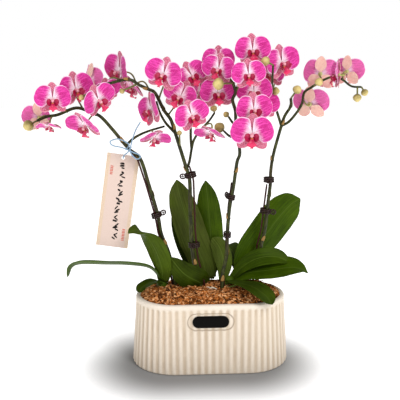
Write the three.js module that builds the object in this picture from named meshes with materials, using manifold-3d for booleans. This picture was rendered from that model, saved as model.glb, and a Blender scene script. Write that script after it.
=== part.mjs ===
// Potted moth orchid arrangement: four flowering plants in one ribbed oval ceramic planter.
// Millimetres, +Z up, the long side of the planter along X and its label on the -Y side.
// The origin is the middle of the planter's underside.
import * as THREE from "three";
import { mergeVertices } from "three/addons/utils/BufferGeometryUtils.js";
import Module from "manifold-3d";

const wasm = await Module();
wasm.setup();

// Planter
const POT_HEIGHT = 90;
const BASE_LENGTH = 206;
const BASE_WIDTH = 116;
const RIM_LENGTH = 194;
const RIM_WIDTH = 102;
const RIBS_ALONG_SIDE = 10;
const RIBS_ROUND_END = 20;
const RIB_DEPTH = 1.6;
const RIM_BAND = 6;
const RIM_WALL = 6;
const POT_FLOOR = 8;

// Label plate on the front
const PLATE_LENGTH = 46;
const PLATE_HEIGHT = 15;
const PLATE_THICKNESS = 1.2;
const PAD_LENGTH = 58;
const PAD_HEIGHT = 21;
const LABEL_CENTRE = [-3, 68.5];

// Growing medium and everything that stands in it
const SEAT_GAP = 0.3;
const STALK_GAP = 0.5;
const FILL_EDGE = 87.5;
const MOUND_RISE = 10;
const HOLE_FLOOR = 62;
const CROWN_FLOOR = 78;

// Stems, stakes and clips
const STEM_BASE_RADIUS = 2.4;
const STEM_TIP_RADIUS = 1.5;
const PEDICEL_RADIUS = 0.95;
const STAKE_RADIUS = 1.2;
const CLIP_HEIGHT = 7;
const CLIP_WALL = 2.2;

// Leaves and flowers
const LEAF_THICKNESS = 1.8;
const TEPAL_THICKNESS = 0.8;
const HUB_BACK = 3;

// Gift tag and its cord
const TAG_WIDTH = 41;
const TAG_LENGTH = 121;
const TAG_THICKNESS = 0.8;
const CORD_RADIUS = 0.7;

const finishes = {
  ceramic: new THREE.MeshStandardMaterial({ color: "#e9dccb", roughness: 0.75, metalness: 0 }),
  plate: new THREE.MeshStandardMaterial({ color: "#17110f", roughness: 0.3, metalness: 0 }),
  coir: new THREE.MeshStandardMaterial({ color: "#9a6238", roughness: 0.95, metalness: 0 }),
  stem: new THREE.MeshStandardMaterial({ color: "#4f6228", roughness: 0.55, metalness: 0 }),
  leaf: new THREE.MeshStandardMaterial({ color: "#2f5a26", roughness: 0.4, metalness: 0 }),
  petal: new THREE.MeshStandardMaterial({ color: "#d9359b", roughness: 0.6, metalness: 0 }),
  stake: new THREE.MeshStandardMaterial({ color: "#4a1a16", roughness: 0.45, metalness: 0 }),
  clip: new THREE.MeshStandardMaterial({ color: "#2a1714", roughness: 0.4, metalness: 0 }),
  card: new THREE.MeshStandardMaterial({ color: "#f3dccd", roughness: 0.85, metalness: 0 }),
  cord: new THREE.MeshStandardMaterial({ color: "#9db8d0", roughness: 0.8, metalness: 0 }),
};

const arrangement = new THREE.Group();

// Adds a named mesh to the arrangement.
function place(name, body, material) {
  const mesh = new THREE.Mesh(geometryOf(body), material);
  mesh.name = name;
  arrangement.add(mesh);
  return mesh;
}

function vec(point) {
  return new THREE.Vector3(...point);
}

// A closed surface, given as points and triangles, as a solid.
function solid(points, faces) {
  return new wasm.Manifold(
    new wasm.Mesh({
      numProp: 3,
      vertProperties: new Float32Array(points.flatMap((p) => [p.x, p.y, p.z])),
      triVerts: new Uint32Array(faces.flat()),
    }),
  );
}

// A closed geometry as a solid.
function solidOf(source) {
  const bare = source.clone();
  bare.deleteAttribute("normal");
  bare.deleteAttribute("uv");
  const merged = mergeVertices(bare, 1e-4);
  return new wasm.Manifold(
    new wasm.Mesh({
      numProp: 3,
      vertProperties: merged.attributes.position.array,
      triVerts: new Uint32Array(merged.index.array),
    }),
  );
}

function geometryOf(body) {
  const mesh = body.getMesh();
  const geometry = new THREE.BufferGeometry();
  geometry.setAttribute("position", new THREE.BufferAttribute(mesh.vertProperties, 3));
  geometry.setIndex(new THREE.BufferAttribute(mesh.triVerts, 1));
  geometry.computeVertexNormals();
  return geometry;
}

function joined(bodies) {
  return bodies.reduce((all, body) => all.add(body));
}

// A solid skinned over rings of like count, which run anticlockwise as seen from the last ring.
// An end is closed by a fan round its given point, or flat where there is none.
function loft(rings, first, last) {
  const count = rings[0].length;
  const points = rings.flat();
  const faces = [];
  for (let i = 0; i < rings.length - 1; i++) {
    for (let j = 0; j < count; j++) {
      const a = i * count + j;
      const b = i * count + ((j + 1) % count);
      faces.push([a, b, b + count], [a, b + count, a + count]);
    }
  }
  const closeEnd = (start, peak, turn) => {
    const fan = peak ? points.push(peak) - 1 : start;
    for (let j = peak ? 0 : 1; j < (peak ? count : count - 1); j++) {
      const pair = [start + j, start + ((j + 1) % count)];
      faces.push(turn ? [fan, pair[1], pair[0]] : [fan, ...pair]);
    }
  };
  closeEnd(0, first, true);
  closeEnd((rings.length - 1) * count, last, false);
  return solid(points, faces);
}

// Axes across a path at each of its points, carried along without twisting.
function frames(path) {
  const last = path.length - 1;
  const tangents = path.map((p, i) =>
    new THREE.Vector3().subVectors(path[Math.min(i + 1, last)], path[Math.max(i - 1, 0)]).normalize(),
  );
  const side = new THREE.Vector3(1, 0, 0);
  if (Math.abs(tangents[0].x) > 0.9) side.set(0, 1, 0);
  return tangents.map((tangent) => {
    side.addScaledVector(tangent, -side.dot(tangent)).normalize();
    return { tangent, u: side.clone(), v: new THREE.Vector3().crossVectors(tangent, side) };
  });
}

function smooth(points) {
  return new THREE.CatmullRomCurve3(points, false, "catmullrom", 0.5);
}

// A round tapering rod along a list of points.
function rod(path, startRadius, endRadius, sides) {
  const axes = frames(path);
  const rings = path.map((centre, i) => {
    const radius = THREE.MathUtils.lerp(startRadius, endRadius, i / (path.length - 1));
    return Array.from({ length: sides }, (_, k) => {
      const angle = (2 * Math.PI * k) / sides;
      return centre
        .clone()
        .addScaledVector(axes[i].u, radius * Math.cos(angle))
        .addScaledVector(axes[i].v, radius * Math.sin(angle));
    });
  });
  return loft(rings);
}

// A closed egg with its long axis from one point to another.
function egg(from, to, radius, sides) {
  const path = [0.12, 0.5, 0.88].map((t) => new THREE.Vector3().lerpVectors(from, to, t));
  const axes = frames(path);
  const shares = [0.68, 1, 0.6];
  const rings = path.map((centre, i) =>
    Array.from({ length: sides }, (_, k) => {
      const angle = (2 * Math.PI * k) / sides;
      return centre
        .clone()
        .addScaledVector(axes[i].u, radius * shares[i] * Math.cos(angle))
        .addScaledVector(axes[i].v, radius * shares[i] * Math.sin(angle));
    }),
  );
  return loft(rings, from, to);
}

// The skin of a thin blade over a surface at(t, s): t runs from root to tip, s from -1 to 1 across.
// Both faces are split alike, the last row is the single point of the tip, and the root is open.
function bladeSkin(at, rows, columns, thickness) {
  const step = 0.01;
  const top = [];
  const bottom = [];
  const addPoint = (t, s) => {
    const back = Math.min(t, 1 - 2 * step);
    const along = at(back + step, s).sub(at(back, s));
    const across = at(back, 1).sub(at(back, -1));
    const normal = new THREE.Vector3().crossVectors(across, along).normalize();
    const centre = at(t, s);
    top.push(centre.clone().addScaledVector(normal, thickness / 2));
    bottom.push(centre.clone().addScaledVector(normal, -thickness / 2));
  };
  for (const t of rows) for (const s of columns) addPoint(t, s);
  addPoint(1, 0);
  const wide = columns.length;
  const tip = rows.length * wide;
  const faces = [];
  const lower = top.length;
  const addBoth = (a, b, c) => faces.push([a, b, c], [a + lower, c + lower, b + lower]);
  for (let i = 0; i < rows.length; i++) {
    for (let j = 0; j < wide - 1; j++) {
      const a = i * wide + j;
      if (i === rows.length - 1) {
        addBoth(a, a + 1, tip);
      } else if (j % 2) {
        addBoth(a, a + 1, a + wide);
        addBoth(a + 1, a + 1 + wide, a + wide);
      } else {
        addBoth(a, a + 1, a + 1 + wide);
        addBoth(a, a + 1 + wide, a + wide);
      }
    }
  }
  const edge = rows.map((_, i) => (i + 1) * wide - 1);
  edge.push(tip, ...rows.map((_, i) => (rows.length - 1 - i) * wide));
  for (let k = 0; k < edge.length - 1; k++) {
    const [a, b] = [edge[k], edge[k + 1]];
    faces.push([b, a, a + lower], [b, a + lower, b + lower]);
  }
  const front = columns.map((_, j) => j);
  return { points: [...top, ...bottom], faces, front, back: front.map((j) => j + lower) };
}

// A blade closed across its root.
function blade(at, rows, columns, thickness) {
  const { points, faces, front, back } = bladeSkin(at, rows, columns, thickness);
  for (let j = 0; j < front.length - 1; j++) {
    faces.push([front[j + 1], front[j], back[j]], [front[j + 1], back[j], back[j + 1]]);
  }
  return solid(points, faces);
}

// Points round an outline of two straights and two half circles, walked rib by rib from the front.
// Each rib starts in a groove that lies inside the outline, and its other points lie on it.
function ovalRing(length, width, z, sideRibs, endRibs, pointsPerRib, groove) {
  const radius = width / 2;
  const straight = length - width;
  const ring = [];
  const add = (x, y, nx, ny, k) => {
    const inset = k % pointsPerRib === 0 ? groove : 0;
    ring.push(new THREE.Vector3(x - nx * inset, y - ny * inset, z));
  };
  for (const turn of [1, -1]) {
    const side = sideRibs * pointsPerRib;
    for (let k = 0; k < side; k++) add(turn * (k / side - 0.5) * straight, -turn * radius, 0, -turn, k);
    const end = endRibs * pointsPerRib;
    for (let k = 0; k < end; k++) {
      const angle = (Math.PI * k) / end - Math.PI / 2;
      const nx = turn * Math.cos(angle);
      const ny = turn * Math.sin(angle);
      add(turn * (straight / 2) + radius * nx, radius * ny, nx, ny, k);
    }
  }
  return ring;
}

function ovalSolid(layers, sideRibs, endRibs, pointsPerRib) {
  const rings = layers.map(({ length, width, z, groove = 0 }) =>
    ovalRing(length, width, z, sideRibs, endRibs, pointsPerRib, groove),
  );
  return loft(rings, new THREE.Vector3(0, 0, layers[0].z), new THREE.Vector3(0, 0, layers.at(-1).z));
}

// The outside of the planter at a height, and the inside of its wall.
function outerSize(z) {
  const share = z / POT_HEIGHT;
  return {
    length: THREE.MathUtils.lerp(BASE_LENGTH, RIM_LENGTH, share),
    width: THREE.MathUtils.lerp(BASE_WIDTH, RIM_WIDTH, share),
  };
}

function innerSize(z) {
  const { length, width } = outerSize(z);
  const wall = RIM_WALL + 2 * (1 - z / POT_HEIGHT);
  return { length: length - 2 * wall, width: width - 2 * wall };
}

const INNER_SIDE = 3;
const INNER_END = 9;

// A pill-shaped block lying along X, its flat faces square to Y, that leans back with the wall.
function pill(length, height, depth) {
  const half = (length - height) / 2;
  const shape = new THREE.Shape();
  shape.absarc(half, 0, height / 2, -Math.PI / 2, Math.PI / 2, false);
  shape.absarc(-half, 0, height / 2, Math.PI / 2, (3 * Math.PI) / 2, false);
  const block = new THREE.ExtrudeGeometry(shape, { depth, bevelEnabled: false, curveSegments: 6 });
  return block.rotateX(Math.PI / 2 - WALL_LEAN);
}

const WALL_LEAN = Math.atan((BASE_WIDTH - RIM_WIDTH) / 2 / POT_HEIGHT);

// The point of the front wall's groove line at the label's centre.
function padCentre(inset) {
  const depth = -outerSize(LABEL_CENTRE[1]).width / 2 + inset;
  return [LABEL_CENTRE[0], depth, LABEL_CENTRE[1]];
}

function planter() {
  const ribbed = ovalSolid(
    [
      { ...outerSize(0), z: 0, groove: RIB_DEPTH },
      { ...outerSize(POT_HEIGHT - RIM_BAND), z: POT_HEIGHT - RIM_BAND, groove: RIB_DEPTH },
    ],
    RIBS_ALONG_SIDE,
    RIBS_ROUND_END,
    3,
  );
  const bandFoot = outerSize(POT_HEIGHT - RIM_BAND);
  const band = ovalSolid(
    [
      { length: bandFoot.length + 0.8, width: bandFoot.width + 0.8, z: POT_HEIGHT - RIM_BAND - 0.5 },
      { length: RIM_LENGTH + 0.8, width: RIM_WIDTH + 0.8, z: POT_HEIGHT - 1.5 },
      { length: RIM_LENGTH - 2, width: RIM_WIDTH - 2, z: POT_HEIGHT },
    ],
    6,
    18,
    1,
  );
  const cavity = ovalSolid(
    [
      { ...innerSize(POT_FLOOR), z: POT_FLOOR },
      { ...innerSize(POT_HEIGHT + 1), z: POT_HEIGHT + 1 },
    ],
    INNER_SIDE,
    INNER_END,
    1,
  );
  const pocket = solidOf(pill(PAD_LENGTH, PAD_HEIGHT, 6).translate(...padCentre(RIB_DEPTH)));
  return ribbed.add(band).subtract(cavity).subtract(pocket);
}

function labelPlate() {
  return pill(PLATE_LENGTH, PLATE_HEIGHT, PLATE_THICKNESS).translate(...padCentre(RIB_DEPTH - SEAT_GAP));
}

place("planter", planter(), finishes.ceramic);
place("label_plate", solidOf(labelPlate()), finishes.plate);

// The mound of bark and coir: how far in each ring of its surface lies, and how much of the rise
// it has reached.
const MOUND = [[0.9, 0.4], [0.72, 0.75], [0.5, 0.95], [0.28, 1]];

function mound() {
  const inner = [POT_FLOOR + SEAT_GAP, FILL_EDGE].map((z) => {
    const { length, width } = innerSize(z);
    return ovalRing(length - 2 * SEAT_GAP, width - 2 * SEAT_GAP, z, INNER_SIDE, INNER_END, 1, 0);
  });
  const lumpy = MOUND.map(([share, rise]) =>
    inner[1].map(({ x, y }) => {
      const lump = 1.2 * Math.sin(x / 7 + y / 5) + 0.8 * Math.cos(x / 4 - y / 6);
      return new THREE.Vector3(x * share, y * share, FILL_EDGE + rise * MOUND_RISE + lump);
    }),
  );
  const underside = new THREE.Vector3(0, 0, POT_FLOOR + SEAT_GAP);
  return loft([...inner, ...lumpy], underside, new THREE.Vector3(0, 0, FILL_EDGE + MOUND_RISE));
}

// An upright hole for something that stands in the medium.
function hole([x, y], radius, floor) {
  return solidOf(new THREE.CylinderGeometry(radius, radius, 60, 6).rotateX(Math.PI / 2).translate(x, y, floor + 30));
}

// Flower spikes: the main stem of each as a list of points from the medium to its tip, then its
// side branches, and the buds with the branch and point that each one leaves.
const spikes = [
  {
    name: "flower_spike_1",
    foot: [-46, 8],
    branches: [
      [
        [-50, 8, 124], [-55, 8, 145], [-64, 5, 170], [-68, 2, 195], [-79, -2, 236],
        [-89, -6, 269], [-103, -9, 282], [-122, -12, 306], [-136, -14, 322], [-147, -15, 327],
        [-165, -17, 333], [-187, -19, 325], [-200, -20, 323], [-212, -22, 318],
      ],
      [[-97, -8, 276], [-96, -5, 292], [-89, -4, 301], [-76, -3, 305], [-58, -1, 309]],
    ],
    buds: [{ branch: 0, at: 16, tip: [-228, -26, 309], radius: 7 }],
  },
  {
    name: "flower_spike_2",
    foot: [-13, 5],
    branches: [
      [
        [-18, 6, 121], [-22, 5, 138], [-25, 3, 173], [-26, 0, 207], [-27, -2, 241],
        [-32, -4, 259], [-39, -6, 282], [-47, -8, 308], [-51, -9, 319], [-59, -10, 330],
        [-69, -11, 350], [-77, -12, 355], [-88, -14, 360], [-102, -16, 367], [-129, -18, 361],
        [-139, -19, 358],
      ],
      [[-31, -3, 254], [-27, 0, 264], [-24, 3, 280], [-21, 4, 291], [-14, 4, 302], [-2, 4, 315], [5, 4, 325]],
      [[-46, -8, 302], [-57, -5, 314], [-64, -3, 327], [-68, 0, 340]],
      [[-24, 3, 280], [-25, 6, 296], [-24, 10, 318], [-20, 10, 350], [-18, 10, 366]],
    ],
    buds: [
      { branch: 0, at: 17.5, tip: [-144, -24, 384], radius: 3.6 },
      { branch: 0, at: 15.2, tip: [-112, -24, 352], radius: 3.4 },
      { branch: 0, at: 9, tip: [-40, -15, 305], radius: 3.4 },
      { branch: 1, at: 6, tip: [3, -1, 335], radius: 4.6 },
    ],
  },
  {
    name: "flower_spike_3",
    foot: [15, -9],
    branches: [
      [
        [15, -9, 116], [20, -9, 141], [21, -10, 170], [22, -10, 188], [24, -11, 209],
        [28, -12, 232], [32, -14, 264], [35, -18, 278], [29, -28, 311], [27, -35, 330],
        [23, -40, 343], [26, -43, 352], [23, -45, 363],
      ],
      [[29, -28, 311], [24, -27, 316], [20, -26, 322]],
      [[32, -22, 295], [22, -20, 298], [15, -18, 304]],
    ],
    buds: [
      { branch: 0, at: 15, tip: [-2, -58, 362], radius: 7.2 },
      { branch: 1, at: 2, tip: [14, -26, 328], radius: 4 },
      { branch: 2, at: 2, tip: [4, -17, 313], radius: 7 },
    ],
  },
  {
    name: "flower_spike_4",
    foot: [66, 26],
    branches: [
      [
        [68, 24, 130], [70, 22, 149], [74, 18, 170], [76, 14, 199], [79, 11, 232],
        [79, 10, 249], [82, 9, 272], [91, 7, 308], [95, 6, 321], [102, 5, 333], [102, 5, 343],
      ],
      [[91, 7, 308], [84, 6, 328], [75, 0, 345], [75, -10, 358], [73, -26, 373], [71, -40, 384]],
      [[91, 7, 308], [102, 6, 315], [115, 3, 334], [118, 1, 350], [127, 0, 357], [141, 4, 365],
        [157, 8, 370], [169, 10, 366], [180, 8, 358], [192, 4, 357]],
    ],
    buds: [
      { branch: 0, at: 13, tip: [109, -12, 358], radius: 5.8 },
      { branch: 1, at: 5, tip: [56, -54, 390], radius: 5.6 },
      { branch: 1, at: 2.6, tip: [86, -5, 352], radius: 5.2 },
      { branch: 2, at: 4.2, tip: [130, -32, 365], radius: 5.2 },
      { branch: 2, at: 8.6, tip: [186, 0, 338], radius: 5.6 },
      { branch: 2, at: 9, tip: [198, 1, 346], radius: 4.8 },
    ],
  },
];

// Blooms: where the throat of each is, how far it is turned from facing -Y, how far it nods and
// rolls, its width, how far its tepals fold forward, the spike, branch and point that it hangs on,
// and, where its stalk has to pass round another bloom, the points on the way.
const blooms = [
  { name: "A", at: [-188, -50, 345], yaw: 10, nod: 5, roll: 0, span: 43, fold: 8, on: [0, 0, 13.6] },
  { name: "B", at: [-164, -30, 356], yaw: 35, nod: 5, roll: -13, span: 47, fold: 8, on: [0, 0, 12.6] },
  { name: "C", at: [-151, 18, 367], yaw: 70, nod: 0, roll: -10, span: 44, fold: 14, on: [1, 0, 18],
    via: [[-152, -18, 361], [-166, -6, 364], [-164, 12, 367]] },
  { name: "D", at: [-135, -46, 349], yaw: 40, nod: 15, roll: -30, span: 46, fold: 8, on: [1, 0, 17.5] },
  { name: "E", at: [-129, -4, 353], yaw: 35, nod: 20, roll: -20, span: 38, fold: 8, on: [1, 0, 16.3],
    via: [[-120, -8, 369], [-127, 1, 365]] },
  { name: "F", at: [-113, 10, 375], yaw: -70, nod: 0, roll: 5, span: 52, fold: 12, on: [1, 0, 15.4] },
  { name: "G", at: [-97, 16, 358], yaw: -60, nod: 35, roll: 0, span: 44, fold: 14, on: [1, 0, 14] },
  { name: "H", at: [-153, -34, 314], yaw: -55, nod: 25, roll: 0, span: 48, fold: 14, on: [0, 0, 11.6] },
  { name: "I", at: [-214, 2, 320], yaw: -140, nod: 10, roll: 0, span: 42, fold: 14, on: [0, 0, 15] },
  { name: "J", at: [-197, -24, 308], yaw: -20, nod: 80, roll: 0, span: 40, fold: 10, on: [0, 0, 14.4] },
  { name: "K", at: [-59, -52, 373], yaw: -20, nod: 0, roll: 17, span: 48, fold: 8, on: [1, 0, 12.6] },
  { name: "L", at: [-39, -40, 347], yaw: -25, nod: 0, roll: 25, span: 46, fold: 8, on: [1, 0, 11.4] },
  { name: "M", at: [-25, -28, 371], yaw: 5, nod: 0, roll: -30, span: 42, fold: 8, on: [1, 3, 3.6] },
  { name: "M3", at: [-15, 0, 351], yaw: 45, nod: 10, roll: 0, span: 40, fold: 10, on: [1, 3, 3] },
  { name: "Z", at: [-27, -58, 326], yaw: 15, nod: 10, roll: -20, span: 44, fold: 8, on: [1, 3, 1.4] },
  { name: "O", at: [-74, -18, 330], yaw: -75, nod: 0, roll: -15, span: 50, fold: 10, on: [1, 2, 2.6] },
  { name: "P", at: [-71, -14, 296], yaw: -20, nod: 85, roll: 0, span: 44, fold: 15, on: [0, 1, 3] },
  { name: "Q", at: [6, -43, 379], yaw: -25, nod: 0, roll: 8, span: 42, fold: 8, on: [2, 0, 15] },
  { name: "R", at: [7, -26, 389], yaw: -5, nod: 0, roll: 0, span: 40, fold: 8, on: [2, 0, 15],
    via: [[15, -30, 371], [11, -19, 378]] },
  { name: "S", at: [39, -60, 373], yaw: 0, nod: 0, roll: -5, span: 48, fold: 8, on: [2, 0, 14] },
  { name: "T", at: [47, -34, 402], yaw: 0, nod: 0, roll: -3, span: 50, fold: 8, on: [2, 0, 14] },
  { name: "U", at: [87, -6, 387], yaw: 25, nod: 0, roll: -10, span: 50, fold: 8, on: [3, 1, 3] },
  { name: "U2", at: [80, 22, 373], yaw: -40, nod: 0, roll: 0, span: 42, fold: 10, on: [3, 1, 2],
    via: [[79, 12, 352], [85, 30, 362]] },
  { name: "V", at: [51, -20, 352], yaw: 0, nod: 0, roll: 0, span: 46, fold: 8, on: [2, 0, 15],
    via: [[39, -26, 368], [47, -12, 361]] },
  { name: "W", at: [47, -50, 332], yaw: 10, nod: 0, roll: -5, span: 46, fold: 8, on: [2, 0, 12] },
  { name: "W2", at: [66, -2, 335], yaw: 0, nod: 0, roll: 0, span: 42, fold: 8, on: [3, 1, 1.4] },
  { name: "X", at: [44, -66, 305], yaw: -10, nod: 5, roll: 0, span: 52, fold: 6, on: [2, 0, 10.5] },
  { name: "Y", at: [6, -30, 351], yaw: 5, nod: 5, roll: -5, span: 46, fold: 8, on: [2, 0, 15],
    via: [[19, -31, 367], [12, -21, 360]] },
  { name: "AA", at: [-2, -30, 304], yaw: -35, nod: 60, roll: 0, span: 42, fold: 14, on: [1, 1, 4] },
  { name: "CC", at: [144, 26, 373], yaw: 150, nod: 0, roll: 0, span: 50, fold: 10, on: [3, 2, 5] },
  { name: "DD", at: [154, -24, 372], yaw: -95, nod: 0, roll: 0, span: 44, fold: 14, on: [3, 2, 6] },
  { name: "EE", at: [180, 30, 376], yaw: 135, nod: 0, roll: 0, span: 46, fold: 12, on: [3, 2, 7] },
  { name: "FF", at: [130, 20, 335], yaw: 145, nod: -20, roll: 0, span: 52, fold: 12, on: [3, 2, 2.4] },
];

// The frame of a bloom: it faces -Y with its top sepal up before it is turned.
function bloomTurn({ yaw, nod, roll }) {
  const [x, y, z] = [nod, roll, yaw].map(THREE.MathUtils.degToRad);
  return new THREE.Euler(x, y, z, "ZXY");
}

// Half the width of a tepal along its length, as a share of the widest.
function outline(knots, t) {
  const last = knots.length - 1;
  let i = 0;
  while (i < last - 1 && t > knots[i + 1][0]) i++;
  const [t0, w0] = knots[i];
  const [t1, w1] = knots[i + 1];
  return THREE.MathUtils.lerp(w0, w1, (t - t0) / (t1 - t0));
}

const PETAL_OUTLINE = [[0, 0.07], [0.11, 0.075], [0.36, 0.92], [0.62, 1], [0.86, 0.7], [1, 0]];
const SEPAL_OUTLINE = [[0, 0.1], [0.12, 0.11], [0.36, 0.9], [0.6, 1], [0.86, 0.66], [1, 0]];
const FLAT = [-1, 1];
const RIDGED = [-1, 0, 1];

// The lip from its root to its tip, as shares of a bloom's width: how far along each row lies, the
// depth and height of its middle, then the reach, depth and height of its edges.
// The second row is the pair of ears beside the column, and the fourth the middle lobe.
const LIP = [
  [0, -0.015, -0.07, 0.022, -0.015, -0.07],
  [0.3, -0.07, -0.1, 0.13, -0.1, 0.02],
  [0.5, -0.12, -0.16, 0.04, -0.12, -0.15],
  [0.75, -0.15, -0.23, 0.075, -0.16, -0.22],
  [1, -0.13, -0.3, 0, -0.13, -0.3],
];

function lipSkin(span) {
  const at = (t, s) => {
    let i = 0;
    while (i < LIP.length - 2 && t > LIP[i + 1][0]) i++;
    const share = (t - LIP[i][0]) / (LIP[i + 1][0] - LIP[i][0]);
    const row = LIP[i].map((value, k) => THREE.MathUtils.lerp(value, LIP[i + 1][k], share) * span);
    const edge = Math.abs(s);
    return new THREE.Vector3(
      -s * row[3],
      THREE.MathUtils.lerp(row[1], row[4], edge),
      THREE.MathUtils.lerp(row[2], row[5], edge),
    );
  };
  return bladeSkin(at, LIP.slice(0, -1).map(([t]) => t), RIDGED, TEPAL_THICKNESS);
}

// A tepal that leaves the throat at an angle from straight up, clockwise as seen from in front.
function tepalSkin({ angle, length, halfWidth, fold, front, knots, rows, columns }) {
  const turn = THREE.MathUtils.degToRad(angle);
  const lean = THREE.MathUtils.degToRad(fold);
  const out = new THREE.Vector3(Math.sin(turn), 0, Math.cos(turn));
  const across = new THREE.Vector3(Math.cos(turn), 0, -Math.sin(turn));
  const at = (t, s) => {
    const reach = length * t;
    const cup = 0.08 * halfWidth * outline(knots, t) * s * s;
    const forward = front + reach * Math.sin(lean) * (0.6 + 0.4 * t) - cup;
    return new THREE.Vector3(0, -forward, 0)
      .addScaledVector(out, reach * Math.cos(lean))
      .addScaledVector(across, halfWidth * outline(knots, t) * s);
  };
  return bladeSkin(at, rows, columns, TEPAL_THICKNESS);
}

// Three sepals behind, two broad petals before them, and the three-lobed lip below, all grown out
// of one hub, which rises to the stubby column in front and meets the stalk behind.
function bloomBody({ span, fold }) {
  const sepal = (angle, length) =>
    tepalSkin({
      angle,
      length: length * span,
      halfWidth: 0.16 * span,
      fold: fold * 0.5,
      front: -1.2,
      knots: SEPAL_OUTLINE,
      rows: [0.12, 0.4, 0.78],
      columns: FLAT,
    });
  const petal = (angle) =>
    tepalSkin({
      angle,
      length: 0.52 * span,
      halfWidth: 0.27 * span,
      fold,
      front: 1,
      knots: PETAL_OUTLINE,
      rows: [0.11, 0.4, 0.8],
      columns: RIDGED,
    });
  const clockwise = [
    sepal(0, 0.46), petal(82), sepal(132, 0.45), lipSkin(span), sepal(-132, 0.45), petal(-82),
  ];
  const points = [];
  const faces = [];
  const front = [];
  const back = [];
  const walls = [];
  for (const skin of clockwise) {
    const start = points.length;
    points.push(...skin.points);
    faces.push(...skin.faces.map((face) => face.map((k) => k + start)));
    walls.push(front.length + skin.front.length - 1);
    front.push(...skin.front.map((k) => k + start));
    back.push(...skin.back.map((k) => k + start));
  }
  const columnTip = points.push(new THREE.Vector3(0, -0.15 * span, -0.04 * span)) - 1;
  const stalkEnd = points.push(new THREE.Vector3(0, HUB_BACK, 0)) - 1;
  for (let k = 0; k < front.length; k++) {
    const next = (k + 1) % front.length;
    faces.push([front[next], front[k], columnTip], [back[k], back[next], stalkEnd]);
    if (walls.includes(k)) {
      faces.push([back[k], front[k], front[next]], [back[k], front[next], back[next]]);
    }
  }
  return solid(points, faces);
}

for (const bloom of blooms) {
  const mesh = place("bloom_" + bloom.name, bloomBody(bloom), finishes.petal);
  mesh.position.set(...bloom.at);
  mesh.rotation.copy(bloomTurn(bloom));
}

// The stem of a spike stands upright in its hole before it leans.
function mainPoints(spike) {
  const foot = [HOLE_FLOOR + SEAT_GAP, 80, 99].map((z) => [...spike.foot, z]);
  return [...foot, ...spike.branches[0]];
}

function branchCurve(spike, branch) {
  const points = branch === 0 ? mainPoints(spike) : spike.branches[branch];
  return smooth(points.map(vec));
}

function branchPoint(spike, branch, at) {
  const curve = branchCurve(spike, branch);
  return curve.getPoint(at / (curve.points.length - 1));
}

function samples(curve, perStep) {
  return curve.getPoints(Math.round((curve.points.length - 1) * perStep));
}

// The thin stalk that carries a bloom, from its spike to just behind the bloom's hub.
function pedicel(bloom, spike) {
  const start = branchPoint(spike, bloom.on[1], bloom.on[2]);
  const back = new THREE.Vector3(0, 1, 0).applyEuler(bloomTurn(bloom));
  const end = vec(bloom.at).addScaledVector(back, HUB_BACK + STALK_GAP);
  const reach = start.distanceTo(end);
  const approach = end.clone().addScaledVector(back, reach * 0.4);
  const leave = start.clone().lerp(approach, 0.5).add(new THREE.Vector3(0, 0, reach * 0.12));
  const curve = bloom.via
    ? smooth([start, ...bloom.via.map(vec), end])
    : new THREE.CubicBezierCurve3(start, leave, approach, end);
  return rod(curve.getPoints(bloom.via ? 4 : 2), PEDICEL_RADIUS, PEDICEL_RADIUS, 4);
}

function budOn(spike, { branch, at, tip, radius }) {
  const start = branchPoint(spike, branch, at);
  const end = vec(tip);
  const root = end.clone().sub(start).setLength(2 * radius).negate().add(end);
  const stalk = rod([start, root.clone().lerp(end, 0.2)], PEDICEL_RADIUS, PEDICEL_RADIUS, 4);
  return stalk.add(egg(root, end, radius, 5));
}

function flowerSpike(spike, index) {
  const parts = spike.branches.map((_, branch) => {
    const curve = branchCurve(spike, branch);
    return branch === 0
      ? rod(samples(curve, 1), STEM_BASE_RADIUS, STEM_TIP_RADIUS, 5)
      : rod(samples(curve, 1), STEM_TIP_RADIUS, 1.1, 4);
  });
  for (const bloom of blooms) if (bloom.on[0] === index) parts.push(pedicel(bloom, spike));
  for (const bud of spike.buds) parts.push(budOn(spike, bud));
  return joined(parts);
}

spikes.forEach((spike, index) => place(spike.name, flowerSpike(spike, index), finishes.stem));

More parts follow.
